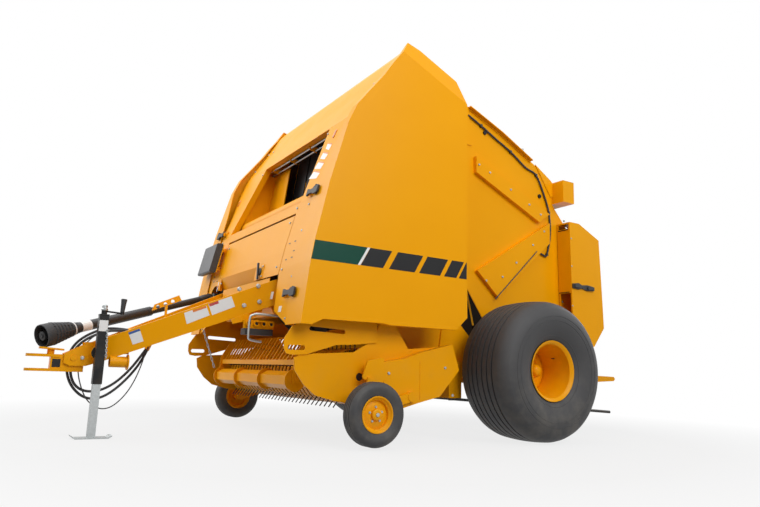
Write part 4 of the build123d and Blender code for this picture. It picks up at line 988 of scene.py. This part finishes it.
def bell_guard():
    """Ribbed rubber bell, its pale clamp ring, and the guard tube with a blank label."""
    start = PTO_REAR + PTO_WAY * (PTO_LENGTH - BELL_LENGTH)
    profile = [(-12, 31), (-12, 42), (6, 44), (14, 40)]
    for k in range(6):
        along_way = 20 + 27 * k
        radius = 46 + 5.2 * k
        profile += [(along_way, radius), (along_way + 4, radius + 5), (along_way + 14, radius + 6),
                    (along_way + 18, radius + 1.5)]
    profile += [(186, 77), (232, 77.5), (240, 76), (240, 70), (190, 66), (30, 34), (-12, 31)]
    bell = Build().lathe(start, PTO_WAY, profile, 64)
    bell.lathe(start, PTO_WAY, [(20, 30), (236, 30), (236, 14), (244, 14), (244, 2), (20, 2), (20, 30)], 36)
    u, v = cross_axes(PTO_WAY)
    for k in range(8):
        a = 2 * math.pi * k / 8
        out = u * math.cos(a) + v * math.sin(a)
        bell.rod(start + PTO_WAY * 30 + out * 49, start + PTO_WAY * 180 + out * 75.5, 4, sides=8)
    bell.done("bell_guard", RUBBER, "shaft_front", 0, 30, slot="guard_plastic")
    ring = Build().lathe(start, PTO_WAY, [(8, 42), (8, 47), (15, 47), (15, 42), (8, 42)], 48)
    ring.done("bell_ring", WHITE, "shaft_front")
    sleeve = PTO_REAR + PTO_WAY * PTO_LENGTH * SLEEVE_START
    reach = PTO_LENGTH - 210 - PTO_LENGTH * SLEEVE_START
    tube = [(0, 27.4), (0, 35), (2, 36), (40, 36), (42, 33.5), (50, 33.5), (52, 36), (reach - 60, 36),
            (reach - 58, 39), (reach - 30, 39), (reach - 28, 36), (reach, 36), (reach, 27.4), (0, 27.4)]
    piece = Build().lathe(sleeve, PTO_WAY, tube, 48).done("guard_sleeve", PLASTIC, "shaft_front", 0, 30,
                                                          slot="guard_plastic")
    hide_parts("driveline_front")
    label = Build().lathe(sleeve, PTO_WAY, [(reach - 150, 36), (reach - 150, 36.9), (reach - 74, 36.9),
                                            (reach - 74, 36), (reach - 150, 36)], 48)
    label.done("guard_sleeve_label", WHITE, "shaft_front")


bell_guard()


# ---------------------------------------------------------------- windguard comb
GUARD_CHAIN = ((-774, -1965, 780), (-774, -1845, 470))


def guard_comb():
    """Slim bars between the heavier fingers, from the bar back over the reel."""
    bars = Build()
    for k in range(11):
        x = (k - 5) * 128
        bars.side([(-1776, 541), (-1764, 541), (-1670, 698), (-1681, 708)], x - 4, x + 4)
        bars.side([(-1670, 698), (-1400, 726), (-1400, 734), (-1681, 708)], x - 4, x + 4)
    bars.done("guard_comb", YELLOW, "windguard_frame", 0.8, slot="yellow_paint")


guard_comb()
chain("guard_chain", *GUARD_CHAIN, 11, 3.2, "chassis")


# ---------------------------------------------------------------- pickup
def pickup_trim():
    """Bolts and a fold on each of the pickup's side covers."""
    for side, sign in BOTH:
        low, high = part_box(f"pickup_cover_{side}")
        x = outer_x(f"pickup_cover_{side}")
        y0, y1 = (low[1] - AXLE_Y) * 1000, (high[1] - AXLE_Y) * 1000
        bolts = Build()
        for y, z in ((y0 + 30, 340), (y0 + 40, 470), (y1 - 60, 330), (y1 - 130, 520), (y0 + 250, 310)):
            bolts.bolt((sign * x, y, z), (sign, 0, 0), 16)
        bolts.done(f"pickup_bolts_{side}", ZINC, "pickup", 0.5, slot="zinc_plate")
        rib = Build()
        rib.side([(-1010, 300), (-1004, 300), (-1004, 560), (-1010, 560)], sign * x, sign * (x + 3))
        rib.done(f"pickup_fold_{side}", YELLOW, "pickup", 1.4, slot="yellow_paint")


pickup_trim()


# ---------------------------------------------------------------- tailgate sides and pods
GATE_FACE = 797.0


def gate_trim(side, sign):
    """Bolts at the stiffeners and at the roller ends."""
    bolts = Build()
    for y, z in ((-240, 2216), (-120, 2170), (120, 2064), (340, 1968), (480, 1900),
                 (520, 1752), (380, 1610), (180, 1430), (20, 1290), (-160, 1240)):
        bolts.bolt((sign * (GATE_FACE + 36), y, z), (sign, 0, 0), 15)
    for y, z in ((300, 2480), (700, 2200), (820, 1900), (860, 1500), (780, 1150), (-420, 2560), (-560, 2440)):
        bolts.bolt((sign * GATE_FACE, y, z), (sign, 0, 0), 17)
    bolts.done(f"gate_bolts_{side}", ZINC, "tailgate", 0.5, slot="zinc_plate")


def harness():
    """Black conduit on the gate's left side with its clips, and a thinner cable below."""
    high = [(-341, 2640), (-198, 2579), (-45, 2505), (144, 2419), (322, 2313), (455, 2265), (554, 2094),
            (611, 1941), (623, 1744), (577, 1554), (534, 1542), (460, 1569)]
    conduit = Build().pipe(smooth_line([(GATE_FACE + 12, y, z) for y, z in high], 5), 8, 10)
    low = [(423, 1559), (212, 1357), (4, 1160), (-63, 1098)]
    conduit.pipe(smooth_line([(GATE_FACE + 41, y, z) for y, z in low], 5), 4.5, 8)
    conduit.done("gate_harness", RUBBER, "tailgate", slot="hose_rubber")
    clips = Build()
    for y, z in high[1:-1:2]:
        clips.box(GATE_FACE, GATE_FACE + 22, y - 9, y + 9, z - 13, z + 13)
    clips.done("harness_clips", PLASTIC, "tailgate", 2, slot="guard_plastic")


def pod_trim(side, sign):
    """Latch, black strips painted as the shade in the edge seams, and bolts of a rear pod."""
    low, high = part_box(f"rear_pod_{side}")
    out = outer_x(f"rear_pod_{side}")
    y0 = (low[1] - AXLE_Y) * 1000
    latch = Build()
    latch.skin([[(sign * (out + d), y, z) for y, z in
                 ((y0 + 14, 1256), (y0 + 14, 1296), (y0 + 90, 1306), (y0 + 130, 1290), (y0 + 200, 1298),
                  (y0 + 290, 1288), (y0 + 290, 1252), (y0 + 200, 1246), (y0 + 130, 1262),
                  (y0 + 90, 1250))] for d in (0, 14)])
    latch.box(sign * (out + 14), sign * (out + 26), y0 + 30, y0 + 100, 1262, 1292)
    latch.box(sign * (out + 14), sign * (out + 26), y0 + 200, y0 + 280, 1254, 1284)
    latch.done(f"pod_latch_{side}", RUBBER, f"pod_{side}", 2.5, slot="guard_plastic")
    # thin black strips: painted shade standing in for the gaps at the pod's edge seams
    gap_shade = Build()
    inner = min(abs(low[0]), abs(high[0])) * 1000
    for z in (1216, 1779):
        gap_shade.box(sign * (inner + 14), sign * (out - 16), y0 - 1, y0, z, z + 8)
    gap_shade.done(f"pod_gap_shade_{side}", BLACK, f"pod_{side}", slot="black_paint")
    bolts = Build()
    for z in (900, 1100, 1450, 1700):
        bolts.bolt((sign * out, y0 + 16, z), (sign, 0, 0), 11)
    bolts.done(f"pod_bolts_{side}", ZINC, f"pod_{side}", 0.4, slot="zinc_plate")


for side, sign in BOTH:
    gate_trim(side, sign)
    pod_trim(side, sign)
harness()


# ---------------------------------------------------------------- sheet edges
# width of the rounding in millimetres, and the CAD nodes that have it
SOFT_EDGES = {
    1.2: ("hood", "front_door", "front_sill", "lower_panel", "net_box", "pickup_frame", "windguard",
          "guard_fingers", "bale_ramp", "tailgate_beam", "cross_beam"),
    1.8: ("side_shield_left", "side_shield_right", "rear_pod_left", "rear_pod_right", "pickup_cover_left",
          "pickup_cover_right", "tailgate_side_left", "tailgate_side_right", "gauge_arm_left",
          "gauge_arm_right", "hitch_clevis", "jack_tube", "jack_leg", "gearbox"),
    3.0: ("tongue", "main_frame", "manual_box"),
}
for width, nodes in SOFT_EDGES.items():
    for node in nodes:
        round_edges(frame["nodes"][node], width)

studio()
floor()
camera()
